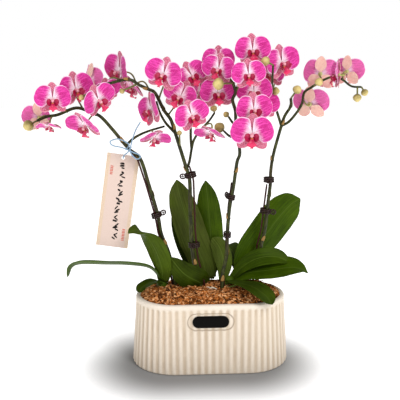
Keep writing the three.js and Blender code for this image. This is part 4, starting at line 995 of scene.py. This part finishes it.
for share, colour in ((streak_mask, "#454a1e"), (flush_mask, "#33220f"), (pale, "#a9a55c")):
    mixed = {0: share, 6: stem_colour, 7: linear(colour)}
    stem_colour = add_node(tree, "ShaderNodeMix", mixed, data_type="RGBA")
sheen = add_node(tree, "ShaderNodeMapRange", {
    "Value": streak, "From Min": 0.3, "From Max": 0.7, "To Min": 0.38, "To Max": 0.55,
})
feed(shader, {"Base Color": stem_colour, "Roughness": sheen})

# Bud skin: closed sepals, waxy and cream-green, paler towards the tip, darker and olive round the
# base and in patches.
bud_finish, tree, shader = new_finish("waxy bud", {
    "IOR": 1.45, "Specular IOR Level": 0.4, "Roughness": 0.42,
})
where = add_node(tree, "ShaderNodeTexCoord").outputs["Object"]
share_map = add_node(tree, "ShaderNodeUVMap", uv_map="share")
along = add_node(tree, "ShaderNodeSeparateXYZ", {"Vector": share_map})
patch = add_node(tree, "ShaderNodeTexNoise", {"Vector": where, "Scale": 180.0, "Detail": 3.0})
lifted = add_node(tree, "ShaderNodeMath", {0: along.outputs["Y"], 1: patch}, operation="ADD")
to_tip = add_node(tree, "ShaderNodeMapRange", {"Value": lifted, "From Min": 0.5, "From Max": 1.4})
bud_colour = add_node(tree, "ShaderNodeMix", {
    0: to_tip, 6: linear("#5e5118"), 7: linear("#cfbb78"),
}, data_type="RGBA")
feed(shader, {"Base Color": bud_colour})

# Bract skin: dried to thin brown paper, matt and flecked.
bract_finish = mottled("papery bract", 900.0, 3.0, "#6d4a20", "#b08a4e", {"Roughness": 0.8, "IOR": 1.4})

for number, (name, spike) in enumerate(SPIKES.items(), 1):
    spike_skin = Skin()
    for branch in range(len(spike["branches"])):
        curve = branch_curve(spike, branch)
        count = curve.steps * 6 + 1
        path = curve(np.linspace(0, curve.steps, count))
        ends = (STEM_TIP_RADIUS, BRANCH_TIP_RADIUS) if branch else (STEM_BASE_RADIUS, STEM_TIP_RADIUS)
        add_tube(spike_skin, path, np.linspace(*ends, count), 14)
    main = branch_curve(spike, 0)
    for k, place in enumerate(spike["joints"]):
        radius = STEM_BASE_RADIUS + (STEM_TIP_RADIUS - STEM_BASE_RADIUS) * place / main.steps
        add_bract(spike_skin, main, place, radius, 2.2 * k - 1.2)
    for bloom in BLOOMS.values():
        if bloom[6][0] == number:
            add_pedicel(spike_skin, spike, bloom)
    for bud in spike["buds"]:
        add_bud(spike_skin, spike, bud)
    wear(spike_skin.piece(f"spike_{number}", stem_finish, bud_finish, bract_finish), "stem", name)

# Blooms: moth orchids, each with three netted sepals behind, two broad petals before them, a lip of
# two ears and an arrow-shaped middle lobe with two tendrils, and the column with its cap.
SEPAL_THICKNESS = 0.7
PETAL_THICKNESS = 0.6
FORWARD = np.array([0.0, -1.0, 0.0])
PETAL_ROWS = 1 - (1 - np.linspace(0.02, 1, 26)) ** 1.35
PETAL_COLUMNS = np.sin(np.linspace(-np.pi / 2, np.pi / 2, 19))
SEPAL_ROWS = 1 - (1 - np.linspace(0.03, 1, 20)) ** 1.3
SEPAL_COLUMNS = np.sin(np.linspace(-np.pi / 2, np.pi / 2, 13))
TEPAL_EDGE = 0.25
LIP_STEPS, LIP_COLUMNS = 16, 9
SEPAL_TURNS = ((0, 0.46, 0.15), (134, 0.45, 0.16), (-134, 0.45, 0.16))


def closing(t, power):
    """How a blade narrows from its middle to its tip."""
    return np.clip(1 - (np.clip(t - 0.5, 0, 1) / 0.502) ** power, 0.001, 1)


def petal_width(t, rise):
    """A claw that opens into a broad round blade, sooner on the side of the top sepal."""
    opened = np.where(rise > 0, ease(t, 0.0, 0.36), ease(t, 0.02, 0.42)) ** 0.8
    fullness = np.where(rise > 0, 1.0, 0.96)
    return (0.08 + 0.92 * opened) * fullness * np.sqrt(closing(t, 2.3))


def sepal_width(t, rise):
    """A narrow foot, then an oval blade with a blunt point."""
    return (0.1 + 0.9 * ease(t, 0.06, 0.44) ** 0.8) * closing(t, 2.1) ** 0.62


def add_tepal(skin, place, kind, angle, length, half_width, fold, ruffle):
    """A petal or sepal that stands `angle` from the top and folds forward, with a ruffled rim."""
    front, width_at, rows, columns, thickness, finish = kind
    turn, lean = math.radians(angle), math.radians(fold)
    out = np.array([math.sin(turn), 0, math.cos(turn)])
    across = np.array([math.cos(turn), 0, -math.sin(turn)])
    height, phase = ruffle
    rise = -math.copysign(1, angle)

    def at(t, s):
        reach = length * t
        width = half_width * width_at(t, rise * s)
        keel = 0.5 * np.exp(-((s / 0.12) ** 2)) * (1 - t)
        waves = np.sin(2 * np.pi * 1.4 * t + phase + 2 * (s > 0))
        wavy = height * np.abs(s) ** 2.5 * waves * ease(t, 0.15, 0.6)
        forward = front + reach * math.sin(lean) * (0.6 + 0.4 * t) - 0.08 * width * s**2 - keel + wavy
        flat = forward[..., None] * FORWARD + (reach * math.cos(lean))[..., None] * out
        return place(flat + (width * s)[..., None] * across)

    add_blade(skin, at, rows, columns, thickness, TEPAL_EDGE, finish=finish)


def add_lip(skin, place, span):
    """The lip: an ear on either side, the middle lobe with its two tendrils, and the callus."""
    def ear(side):
        def at(t, s):
            roundness = np.sin(np.pi * (0.1 + 0.84 * t)) ** 0.65
            x = side * span * (0.03 + 0.125 * t - 0.03 * s * roundness)
            depth = span * (0.05 + 0.1 * t + 0.035 * s**2 - 0.02 * s)
            up = span * (-0.12 + 0.1 * t + 0.085 * s * roundness)
            return place(np.stack([x, -depth, up], axis=-1))

        add_blade(skin, at, np.linspace(0, 1, 12), np.linspace(-1, 1, 11), 0.7, 0.3, finish=2)

    ear(1)
    ear(-1)

    def middle(t, s):
        width = span * np.interp(t, (0, 0.2, 0.45, 0.66, 0.8, 1), (0.04, 0.05, 0.075, 0.12, 0.09, 0.008))
        down = span * (-0.1 - 0.2 * t)
        depth = span * (0.05 + 0.13 * np.sin(np.pi * (0.12 + 0.62 * t)))
        dish = span * 0.035 * s**2 * np.sin(np.pi * t)
        return place(np.stack([width * s, -depth - dish, down + 0.3 * dish], axis=-1))

    rows, columns = np.linspace(0, 1, LIP_STEPS), np.linspace(-1, 1, LIP_COLUMNS)
    tone = np.tile(np.repeat(np.linspace(0.2, 1, LIP_STEPS), LIP_COLUMNS), 2)
    add_blade(skin, middle, rows, columns, 1.0, 0.4, finish=2, tone=tone)
    for side in (1, -1):
        curl = np.linspace(0, 1, 10)
        swing = 4.2 * curl
        line = np.column_stack([
            side * span * (0.012 + 0.05 * np.sin(swing) * curl),
            -span * (0.12 + 0.03 * np.sin(swing)),
            span * (-0.295 - 0.03 * np.sin(swing * 0.7)),
        ])
        add_tube(skin, place(line), np.linspace(0.45, 0.2, 10), 6, finish=2, tone=0.9)
    knob = np.linspace(0, 1, 8)
    line = np.column_stack([np.zeros(8), -span * (0.07 + 0.055 * knob), span * (-0.105 - 0.01 * knob)])
    radii = span * 0.042 * np.sin(np.pi * (0.12 + 0.76 * knob)) ** 0.6
    add_tube(skin, place(line), radii, 10, finish=3, tone=1.0)


def add_column(skin, place, span):
    """The column over the lip, and the hub behind that the stalk ends in."""
    t = np.linspace(0, 1, 12)
    line = np.column_stack([np.zeros(12), -span * (0.01 + 0.145 * t), span * (-0.015 - 0.03 * t**2)])
    radii = span * np.interp(t, (0, 0.3, 0.7, 0.88, 1), (0.045, 0.036, 0.045, 0.042, 0.016))
    add_tube(skin, place(line), radii, 14, finish=3)
    back = np.linspace(0, 1, 8)
    line = np.column_stack([np.zeros(8), 3.0 - 3.2 * back, np.zeros(8)])
    radii = span * np.interp(back, (0, 0.4, 1), (0.028, 0.06, 0.055))
    add_tube(skin, place(line), radii, 14, finish=3, tone=0.5)


# Petal skin: soft and matt with a fine sheen, hot magenta. A net of darker veins runs out from the
# claw about 1.6 mm apart, the blade is white round the throat and has a hairline white rim, and the
# back is paler.
petal_finish, tree, shader = new_finish("veined petal", {
    "Roughness": 0.6, "IOR": 1.4, "Sheen Weight": 0.15, "Subsurface Weight": 0.2, "Subsurface Scale": 0.002,
    "Subsurface Radius": (1.0, 0.35, 0.7), "Specular IOR Level": 0.35,
})
share_map = add_node(tree, "ShaderNodeUVMap", uv_map="share")
flat_map = add_node(tree, "ShaderNodeUVMap", uv_map="flat")
side = add_node(tree, "ShaderNodeAttribute", attribute_name="side").outputs["Fac"]
parts = add_node(tree, "ShaderNodeSeparateXYZ", {"Vector": share_map})
fan = add_node(tree, "ShaderNodeMapping", {"Vector": share_map, "Scale": (26.0, 2.4, 1.0)})
rays = add_node(tree, "ShaderNodeTexNoise", {"Vector": fan, "Scale": 1.0, "Detail": 2.0, "Distortion": 0.4})
ray_mask = add_node(tree, "ShaderNodeMapRange", {
    "Value": rays, "From Min": 0.38, "From Max": 0.62,
}, interpolation_type="SMOOTHSTEP")
netting = add_node(tree, "ShaderNodeTexVoronoi", {
    "Vector": flat_map, "Scale": 0.62,
}, feature="DISTANCE_TO_EDGE")
net_mask = add_node(tree, "ShaderNodeMapRange", {
    "Value": netting, "From Min": 0.03, "From Max": 0.22, "To Min": 1.0, "To Max": 0.0,
})
vein_sum = add_node(tree, "ShaderNodeMath", {0: ray_mask, 1: 0.6}, operation="MULTIPLY")
vein_all = add_node(tree, "ShaderNodeMath", {
    0: net_mask, 1: 0.45, 2: vein_sum,
}, operation="MULTIPLY_ADD", use_clamp=True)
near_throat = add_node(tree, "ShaderNodeMath", {
    0: rays, 1: 0.45, 2: parts.outputs["Y"],
}, operation="MULTIPLY_ADD")
throat_mask = add_node(tree, "ShaderNodeMapRange", {
    "Value": near_throat, "From Min": 0.32, "From Max": 0.7, "To Min": 0.92, "To Max": 0.0,
}, interpolation_type="SMOOTHSTEP")
from_middle = add_node(tree, "ShaderNodeMath", {0: parts.outputs["X"], 1: 0.5}, operation="SUBTRACT")
off_middle = add_node(tree, "ShaderNodeMath", {0: from_middle}, operation="ABSOLUTE")
rim_side = add_node(tree, "ShaderNodeMapRange", {"Value": off_middle, "From Min": 0.45, "From Max": 0.49})
rim_tip = add_node(tree, "ShaderNodeMapRange", {
    "Value": parts.outputs["Y"], "From Min": 0.975, "From Max": 0.998,
})
rim = add_node(tree, "ShaderNodeMath", {0: rim_side, 1: rim_tip}, operation="MAXIMUM")
rim_share = add_node(tree, "ShaderNodeMath", {0: rim, 1: 0.85}, operation="MULTIPLY")
back_share = add_node(tree, "ShaderNodeMath", {0: side, 1: 0.25}, operation="MULTIPLY")
petal_colour = linear("#e648ae")
for share, colour in (
    (vein_all, "#b30d72"), (throat_mask, "#fbe9f1"), (rim_share, "#fbd9ee"), (back_share, "#f2a6cf"),
):
    mixed = {0: share, 6: petal_colour, 7: linear(colour)}
    petal_colour = add_node(tree, "ShaderNodeMix", mixed, data_type="RGBA")
veined = add_node(tree, "ShaderNodeBump", {"Height": vein_all, "Strength": 0.3, "Distance": 0.0003})
feed(shader, {"Base Color": petal_colour, "Normal": veined})

# Sepal skin: like the petal, but dusty pink with a coarse red net on a pale ground, and a back of
# cream and peach.
sepal_finish, tree, shader = new_finish("netted sepal", {
    "Roughness": 0.6, "IOR": 1.4, "Sheen Weight": 0.15, "Subsurface Weight": 0.2, "Subsurface Scale": 0.002,
    "Subsurface Radius": (1.0, 0.5, 0.6), "Specular IOR Level": 0.35,
})
share_map = add_node(tree, "ShaderNodeUVMap", uv_map="share")
flat_map = add_node(tree, "ShaderNodeUVMap", uv_map="flat")
side = add_node(tree, "ShaderNodeAttribute", attribute_name="side").outputs["Fac"]
parts = add_node(tree, "ShaderNodeSeparateXYZ", {"Vector": share_map})
drawn_out = add_node(tree, "ShaderNodeMapping", {"Vector": flat_map, "Scale": (0.85, 0.5, 1.0)})
netting = add_node(tree, "ShaderNodeTexVoronoi", {
    "Vector": drawn_out, "Scale": 1.0,
}, feature="DISTANCE_TO_EDGE")
net_mask = add_node(tree, "ShaderNodeMapRange", {
    "Value": netting, "From Min": 0.04, "From Max": 0.2, "To Min": 1.0, "To Max": 0.0,
})
ground = add_node(tree, "ShaderNodeTexNoise", {"Vector": flat_map, "Scale": 0.22, "Detail": 2.0})
net_share = add_node(tree, "ShaderNodeMath", {0: net_mask, 1: 0.75}, operation="MULTIPLY")
off_middle = add_node(tree, "ShaderNodeMath", {0: parts.outputs["X"], 1: 0.5}, operation="SUBTRACT")
rim_distance = add_node(tree, "ShaderNodeMath", {0: off_middle}, operation="ABSOLUTE")
pale_rim = add_node(tree, "ShaderNodeMapRange", {
    "Value": rim_distance, "From Min": 0.4, "From Max": 0.5, "To Max": 0.6,
})
back_colour = add_node(tree, "ShaderNodeMix", {
    0: ground, 6: linear("#fde3c8"), 7: linear("#f0aea6"),
}, data_type="RGBA")
back_share = add_node(tree, "ShaderNodeMath", {0: side, 1: 0.8}, operation="MULTIPLY")
sepal_colour = linear("#e59fb2")
for share, colour in (
    (ground, linear("#c45a7c")), (net_share, linear("#981a4a")), (pale_rim, linear("#f8dcd8")),
    (back_share, back_colour),
):
    mixed = {0: share, 6: sepal_colour, 7: colour}
    sepal_colour = add_node(tree, "ShaderNodeMix", mixed, data_type="RGBA")
veined = add_node(tree, "ShaderNodeBump", {"Height": net_mask, "Strength": 0.3, "Distance": 0.0003})
feed(shader, {"Base Color": sepal_colour, "Normal": veined})

# Lip skin: fleshy and waxy, dark crimson at the ears and pinker down the middle lobe, by its tone.
lip_finish, tree, shader = new_finish("waxy lip", {
    "Roughness": 0.42, "IOR": 1.45, "Coat Weight": 0.2, "Coat Roughness": 0.3,
})
tone = add_node(tree, "ShaderNodeAttribute", attribute_name="tone").outputs["Fac"]
flat_map = add_node(tree, "ShaderNodeUVMap", uv_map="flat")
mottle = add_node(tree, "ShaderNodeTexNoise", {"Vector": flat_map, "Scale": 0.8, "Detail": 3.0})
deep = add_node(tree, "ShaderNodeMix", {
    0: mottle, 6: linear("#7c0030"), 7: linear("#c80a50"),
}, data_type="RGBA")
lip_colour = add_node(tree, "ShaderNodeMix", {0: tone, 6: deep, 7: linear("#e01c5c")}, data_type="RGBA")
feed(shader, {"Base Color": lip_colour})

# Column skin: waxy, pink-white on the column, green-cream on the hub behind and orange-yellow with
# red specks on the callus, by its tone.
column_finish, tree, shader = new_finish("waxy column", {
    "Roughness": 0.4, "IOR": 1.45, "Coat Weight": 0.2, "Coat Roughness": 0.3,
})
tone = add_node(tree, "ShaderNodeAttribute", attribute_name="tone").outputs["Fac"]
where = add_node(tree, "ShaderNodeTexCoord").outputs["Object"]
specks = add_node(tree, "ShaderNodeTexNoise", {"Vector": where, "Scale": 1400.0, "Detail": 2.0})
speck_mask = add_node(tree, "ShaderNodeMapRange", {
    "Value": specks, "From Min": 0.52, "From Max": 0.6, "To Max": 0.6,
})
to_hub = add_node(tree, "ShaderNodeMapRange", {"Value": tone, "From Max": 0.5})
to_callus = add_node(tree, "ShaderNodeMapRange", {"Value": tone, "From Min": 0.5})
column_colour = linear("#e6a3ae")
for share, colour in ((to_hub, "#b8bd7c"), (to_callus, "#b9601f"), (speck_mask, "#9a2038")):
    mixed = {0: share, 6: column_colour, 7: linear(colour)}
    column_colour = add_node(tree, "ShaderNodeMix", mixed, data_type="RGBA")
feed(shader, {"Base Color": column_colour})

sepal_kind = (-1.2, sepal_width, SEPAL_ROWS, SEPAL_COLUMNS, SEPAL_THICKNESS, 1)
petal_kind = (1.0, petal_width, PETAL_ROWS, PETAL_COLUMNS, PETAL_THICKNESS, 0)
for number, (name, (at, yaw, nod, roll, span, fold, _, _)) in enumerate(BLOOMS.items()):
    grow = random.Random(number + 11)
    turn = bloom_turn(yaw, nod, roll)

    def place(points, turn=turn, at=at):
        return points @ turn.T + np.array(at)

    def sway(reach):
        return grow.uniform(-reach, reach)

    bloom_skin = Skin()
    for angle, length, width in SEPAL_TURNS:
        add_tepal(
            bloom_skin, place, sepal_kind, angle + sway(3), length * span, width * span,
            fold * 0.5 + sway(3), (0.35, sway(3)),
        )
    for angle in (73, -73):
        add_tepal(
            bloom_skin, place, petal_kind, angle + sway(3), 0.5 * span, 0.31 * span, fold + sway(2.5),
            (grow.uniform(0.5, 1.1), sway(3)),
        )
    add_lip(bloom_skin, place, span)
    add_column(bloom_skin, place, span)
    bloom = bloom_skin.piece(f"orchid_{name}", petal_finish, sepal_finish, lip_finish, column_finish)
    wear(bloom, "petal", f"bloom_{name}")

# Stakes: thin rods of dark red-brown coated wire pushed into the medium beside each stem.
STAKE_RADIUS = 1.2
STAKE_UPRIGHT_TO = 2
STAKES = [
    ("flower_spike_1", 8.6, (-3.6, -1.6), (-3.4, -1.4)),
    ("flower_spike_2", 8, (6, -2), (4.8, -1)),
    ("flower_spike_3", 8.2, (3, 4.6), (-2.6, 4)),
    ("flower_spike_4", 7, (-5, 2), (-4.4, 1.4)),
]


def stake_point(stake, place):
    """A point of a stake, beside a place on its stem."""
    spike, to, foot, top = stake
    share = np.maximum(0, (place - STAKE_UPRIGHT_TO) / (to - STAKE_UPRIGHT_TO))
    beside = np.array(foot) + share * (np.array(top) - np.array(foot))
    return branch_curve(SPIKES[spike], 0)(place) + np.array([*beside, 0])


# Plastic-coated wire: an even, slightly shiny skin with a fine drawn texture along it.
coated = mottled(
    "plastic coated wire", 500.0, 3.0, "#1e0705", "#41140f", {"IOR": 1.46, "Specular IOR Level": 0.2},
    gloss=(0.35, 0.55), drawn=(1.0, 1.0, 0.2),
)

for number, stake in enumerate(STAKES, 1):
    stops = np.append(np.arange(math.ceil(stake[1])), stake[1])
    corners = np.array([stake_point(stake, stop) for stop in stops])
    fine = np.linspace(0, len(corners) - 1, 6 * len(corners))
    steps = np.arange(len(corners))
    path = np.column_stack([np.interp(fine, steps, corners[:, axis]) for axis in range(3)])
    radii = np.full(len(path), STAKE_RADIUS)
    radii[-1] = 0.7 * STAKE_RADIUS
    stake_skin = Skin()
    add_tube(stake_skin, path, radii, 12)
    wear(stake_skin.piece(f"rod_{number}", coated), "stake", f"stake_{number}")

# Clips: moulded dark brown sleeves that snap round a stem and its stake, ribbed like a coil, each
# with a small spoked ring to open it by.
CLIP_WALL = 2.2
COIL_LEVELS = (-2.4, 0, 2.4)
COIL_WIRE = 1.05
TAB_RADIUS, TAB_WIRE, TAB_SPOKE = 3, 0.95, 0.55
HOOP_SIDES = 8
CLIPS = [
    (0, 6, "right"), (1, 7.3, "left"), (1, 4.5, "front"), (2, 7.5, "left"), (2, 5, "left"),
    (3, 7.3, "front"), (3, 5.9, "right"),
]


def add_hoop(skin, centre, across, up, half, radius, wire, steps):
    """A closed ring of round wire round two half circles, their centres `half` either side."""
    out = np.cross(up, across)
    line, normals = oval(2 * (half + radius), 2 * radius, 4, steps)
    count, sides = len(line), HOOP_SIDES
    angles = 2 * np.pi * np.arange(sides) / sides
    points = []
    for (x, y), (nx, ny) in zip(line, normals):
        for a in angles:
            reach, rise = wire * math.cos(a), wire * math.sin(a)
            points.append(centre + across * (x + nx * reach) + out * (y + ny * reach) + up * rise)
    faces = []
    for i in range(count):
        for k in range(sides):
            n, m = (k + 1) % sides, (i + 1) % count
            faces.append((i * sides + k, m * sides + k, m * sides + n, i * sides + n))
    flat = np.full((len(points), 2), 0.5)
    skin.add(points, faces, flat, flat)


# Moulded polypropylene: dark brown with a satin skin and faint flow marks 1 mm apart.
moulded = mottled(
    "moulded polypropylene", 800.0, 2.0, "#150907", "#35201a", {"IOR": 1.49, "Specular IOR Level": 0.25},
    gloss=(0.3, 0.45),
)

for number, (index, place, tab) in enumerate(CLIPS, 1):
    stake = STAKES[index]
    stem_curve = branch_curve(SPIKES[stake[0]], 0)
    stem, rod = stem_curve(place), stake_point(stake, place)
    up = unit(stem_curve(place + 0.2) - stem_curve(place - 0.2))
    across = rod - stem
    across = across - up * across.dot(up)
    half = np.linalg.norm(across) / 2
    across = unit(across) * (1 if across[0] > 0 else -1)
    out = np.cross(up, across)
    middle = (stem + rod) / 2
    grip = STEM_BASE_RADIUS
    clip_skin = Skin()
    for level in COIL_LEVELS:
        add_hoop(clip_skin, middle + up * level, across, up, half, grip + CLIP_WALL / 2, COIL_WIRE, 14)
    reach = half + grip + CLIP_WALL + TAB_RADIUS
    front = -out * (grip + CLIP_WALL + 0.4)
    shift = {"right": across * reach, "left": -across * reach, "front": front}[tab]
    add_hoop(clip_skin, middle + shift, across, -out, 0.4, TAB_RADIUS, TAB_WIRE, 12)
    for spoke in (across, up):
        ends = (middle + shift - spoke * 3.2, middle + shift + spoke * 3.2)
        add_tube(clip_skin, np.linspace(*ends, 4), TAB_SPOKE, 8)
    wear(clip_skin.piece(f"grip_{number}", moulded), "clip", f"clip_{number}")

# Gift tag: thick uncoated card with a pale pink middle and peach bands down both sides, hung askew
# on the cord by a hole near its top edge. Brush-like ink dabs run down it, with two red stamps.
TAG_WIDTH, TAG_LENGTH, TAG_THICKNESS = 41, 121, 0.8
TAG_CENTRE = np.array([-119, 3, 213.5])
TAG_LEAN = math.radians(8.5)
EYE_DROP, EYE_RADIUS = 4.2, 2.2


def tag_place(x, up, depth):
    """A place on the tag, from across and up its middle and how far in front of its back."""
    along, aside = math.cos(TAG_LEAN), math.sin(TAG_LEAN)
    return TAG_CENTRE + np.array([x * along + up * aside, -depth, up * along - x * aside])


tag_mesh = bmesh.new()
rim = [(x * TAG_WIDTH / 2, up * TAG_LENGTH / 2) for x, up in ((-1, -1), (1, -1), (1, 1), (-1, 1))]
eye = [
    (EYE_RADIUS * math.cos(a), TAG_LENGTH / 2 - EYE_DROP + EYE_RADIUS * math.sin(a))
    for a in np.linspace(0, 2 * math.pi, 24, endpoint=False)
]
edges = []
for outline in (rim, eye):
    corners = [tag_mesh.verts.new((x, 0, up)) for x, up in outline]
    edges += [tag_mesh.edges.new((a, b)) for a, b in zip(corners, corners[1:] + corners[:1])]
bmesh.ops.triangle_fill(tag_mesh, edges=edges, use_beauty=True, normal=(0, -1, 0))
pushed = bmesh.ops.extrude_face_region(tag_mesh, geom=tag_mesh.faces[:])
for corner in (item for item in pushed["geom"] if isinstance(item, bmesh.types.BMVert)):
    corner.co.y -= TAG_THICKNESS
bmesh.ops.recalc_face_normals(tag_mesh, faces=tag_mesh.faces[:])
tag_mesh.verts.index_update()
tag_skin = Skin()
tag_flat = [(corner.co.x, corner.co.z) for corner in tag_mesh.verts]
tag_points = [tag_place(corner.co.x, corner.co.z, -corner.co.y) for corner in tag_mesh.verts]
tag_faces = [tuple(corner.index for corner in face.verts) for face in tag_mesh.faces]
tag_skin.add(tag_points, tag_faces, tag_flat, tag_flat)
tag_mesh.free()

# Uncoated card: matt, with a soft laid grain of 1 mm, printed pale pink between two peach bands.
card, tree, shader = new_finish("uncoated card", {"Roughness": 0.9, "IOR": 1.45, "Specular IOR Level": 0.3})
flat_map = add_node(tree, "ShaderNodeUVMap", uv_map="flat")
parts = add_node(tree, "ShaderNodeSeparateXYZ", {"Vector": flat_map})
off_middle = add_node(tree, "ShaderNodeMath", {0: parts.outputs["X"]}, operation="ABSOLUTE")
band = add_node(tree, "ShaderNodeMapRange", {"Value": off_middle, "From Min": 15.6, "From Max": 16.2})
pulp = add_node(tree, "ShaderNodeTexNoise", {"Vector": flat_map, "Scale": 0.9, "Detail": 4.0})
pink, peach = (
    add_node(tree, "ShaderNodeMix", {0: pulp, 6: linear(dark), 7: linear(light)}, data_type="RGBA")
    for dark, light in (("#cdb4a7", "#d8c6bc"), ("#cdb49c", "#d6c2ac"))
)
card_colour = add_node(tree, "ShaderNodeMix", {0: band, 6: pink, 7: peach}, data_type="RGBA")
tooth = add_node(tree, "ShaderNodeBump", {"Height": pulp, "Strength": 0.2, "Distance": 0.0002})
feed(shader, {"Base Color": card_colour, "Normal": tooth})

tag = tag_skin.piece("tag_card", card)
tag.data.set_sharp_from_angle(angle=math.radians(40))
wear(tag, "card", "hang_tag")

# Ink marks: a column of brush dabs and two stamps of short dabs, printed on the card and thinner
# than it by far. They are generic marks and spell nothing.
INK_COLUMN = (1.5, 46, -46)
INK_MARKS = 9
INK_HEIGHT = 0.05
STAMPS = ((-12.5, 44, 6), (12.5, -36, 8))
DAB_OUTLINE = [(-0.5, -0.2), (-0.3, -0.5), (0.35, -0.35), (0.5, 0.05), (0.3, 0.5), (-0.35, 0.4)]


def add_dab(skin, x, up, length, height, slant, finish):
    """A brush dab: a flat lozenge of ink with soft ends, just in front of the card."""
    rise = length * math.tan(slant)
    points = []
    for depth in (TAG_THICKNESS + 0.01, TAG_THICKNESS + INK_HEIGHT):
        points += [tag_place(x + a * length, up + b * height + a * rise, depth) for a, b in DAB_OUTLINE]
    faces = [tuple(range(6, 12)), tuple(range(5, -1, -1))]
    faces += [(k, (k + 1) % 6, 6 + (k + 1) % 6, 6 + k) for k in range(6)]
    flat = np.zeros((12, 2))
    skin.add(points, faces, flat, flat, finish=finish)


# Brushed ink and stamp paste: thin, matt and uneven, denser where the brush rested.
ink = mottled("brushed ink", 900.0, 2.0, "#0b0908", "#241d19", {"Roughness": 0.75, "IOR": 1.4})
paste = mottled("red stamp paste", 900.0, 2.0, "#c2473a", "#dc7a68", {"Roughness": 0.7, "IOR": 1.4})

brush = random.Random(21)
ink_skin = Skin()
column_x, ink_top, ink_foot = INK_COLUMN
for mark in range(INK_MARKS):
    up = ink_top + (ink_foot - ink_top) * mark / (INK_MARKS - 1)
    for row in range(3):
        add_dab(
            ink_skin, column_x + brush.uniform(-2.2, 2.2), up + 3 - 2.9 * row, brush.uniform(4, 7),
            brush.uniform(2, 3.2), brush.uniform(-0.8, 0.8), 0,
        )
for x, top, rows in STAMPS:
    for row in range(rows):
        add_dab(ink_skin, x, top - 2.0 * row, 4.2, 1.4, brush.uniform(-0.1, 0.1), 1)
wear(ink_skin.piece("tag_marks", ink, paste), "card")

# Studio: a plain white paper floor in a white room, with a key light from the front right and a
# larger, weaker fill from the front left. The paper is painted darker round the planter's foot, a
# painted shadow where the room's light doesn't reach, and further out it glows with painted light so
# that it shows white.
FLOOR_HALF = 6.0
ROOM_LIGHT = 0.46
SHADE_CENTRE = (-0.01, -0.02, 0)
SHADE_SPINE = (0.045, 0, 0)
SHADE_INNER, SHADE_OUTER = 0.045, 0.162

floor_mesh = bpy.data.meshes.new("floor")
floor_corners = [(x * FLOOR_HALF, y * FLOOR_HALF, 0) for x, y in ((-1, -1), (1, -1), (1, 1), (-1, 1))]
floor_mesh.from_pydata(floor_corners, [], [(0, 1, 2, 3)])
floor = bpy.data.objects.new("floor", floor_mesh)
bpy.context.collection.objects.link(floor)
paper, tree, shader = new_finish("white paper floor", {"Roughness": 0.9, "Specular IOR Level": 0.1})
where = add_node(tree, "ShaderNodeTexCoord").outputs["Object"]
from_spine = add_node(tree, "ShaderNodeVectorMath", {0: where, 1: SHADE_CENTRE}, operation="SUBTRACT")
folded = add_node(tree, "ShaderNodeVectorMath", {0: from_spine}, operation="ABSOLUTE")
past_spine = add_node(tree, "ShaderNodeVectorMath", {0: folded, 1: SHADE_SPINE}, operation="SUBTRACT")
past_pot = add_node(tree, "ShaderNodeVectorMath", {0: past_spine, 1: (0, 0, 0)}, operation="MAXIMUM")
far = add_node(tree, "ShaderNodeVectorMath", {0: past_pot}, operation="LENGTH")
opened = add_node(tree, "ShaderNodeMapRange", {
    "Value": far, "From Min": SHADE_INNER, "From Max": SHADE_OUTER,
},
                  interpolation_type="SMOOTHSTEP")
paper_colour = add_node(tree, "ShaderNodeMix", {0: opened, 6: linear("#8e8e8e"), 7: linear("#fafafa")},
                        data_type="RGBA")
# Painted light: the paper glows away from the planter so that it shows white.
glow = add_node(tree, "ShaderNodeMath", {0: opened, 1: 0.8}, operation="MULTIPLY")
feed(shader, {"Base Color": paper_colour, "Emission Strength": glow, "Emission Color": (1, 1, 1, 1)})
floor_mesh.materials.append(paper)

room = bpy.data.worlds.new("white room")
room.use_nodes = True
seen = add_node(room.node_tree, "ShaderNodeLightPath")
strength = add_node(room.node_tree, "ShaderNodeMapRange", {
    "Value": seen.outputs["Is Camera Ray"], "To Min": ROOM_LIGHT,
})
feed(room.node_tree.nodes["Background"], {"Color": (1, 1, 1, 1), "Strength": strength})
bpy.context.scene.world = room
for name, power, size, place in (("key", 21, 0.7, (0.75, -1.35, 1.5)), ("fill", 7, 1.2, (-1.3, -1.3, 0.9))):
    light_data = bpy.data.lights.new(name, "AREA")
    light_data.energy = power
    light_data.size = size
    light = bpy.data.objects.new(name, light_data)
    light.location = place
    light.rotation_euler = (Vector((0, 0, 0.22)) - Vector(place)).to_track_quat("-Z", "Y").to_euler()
    bpy.context.collection.objects.link(light)
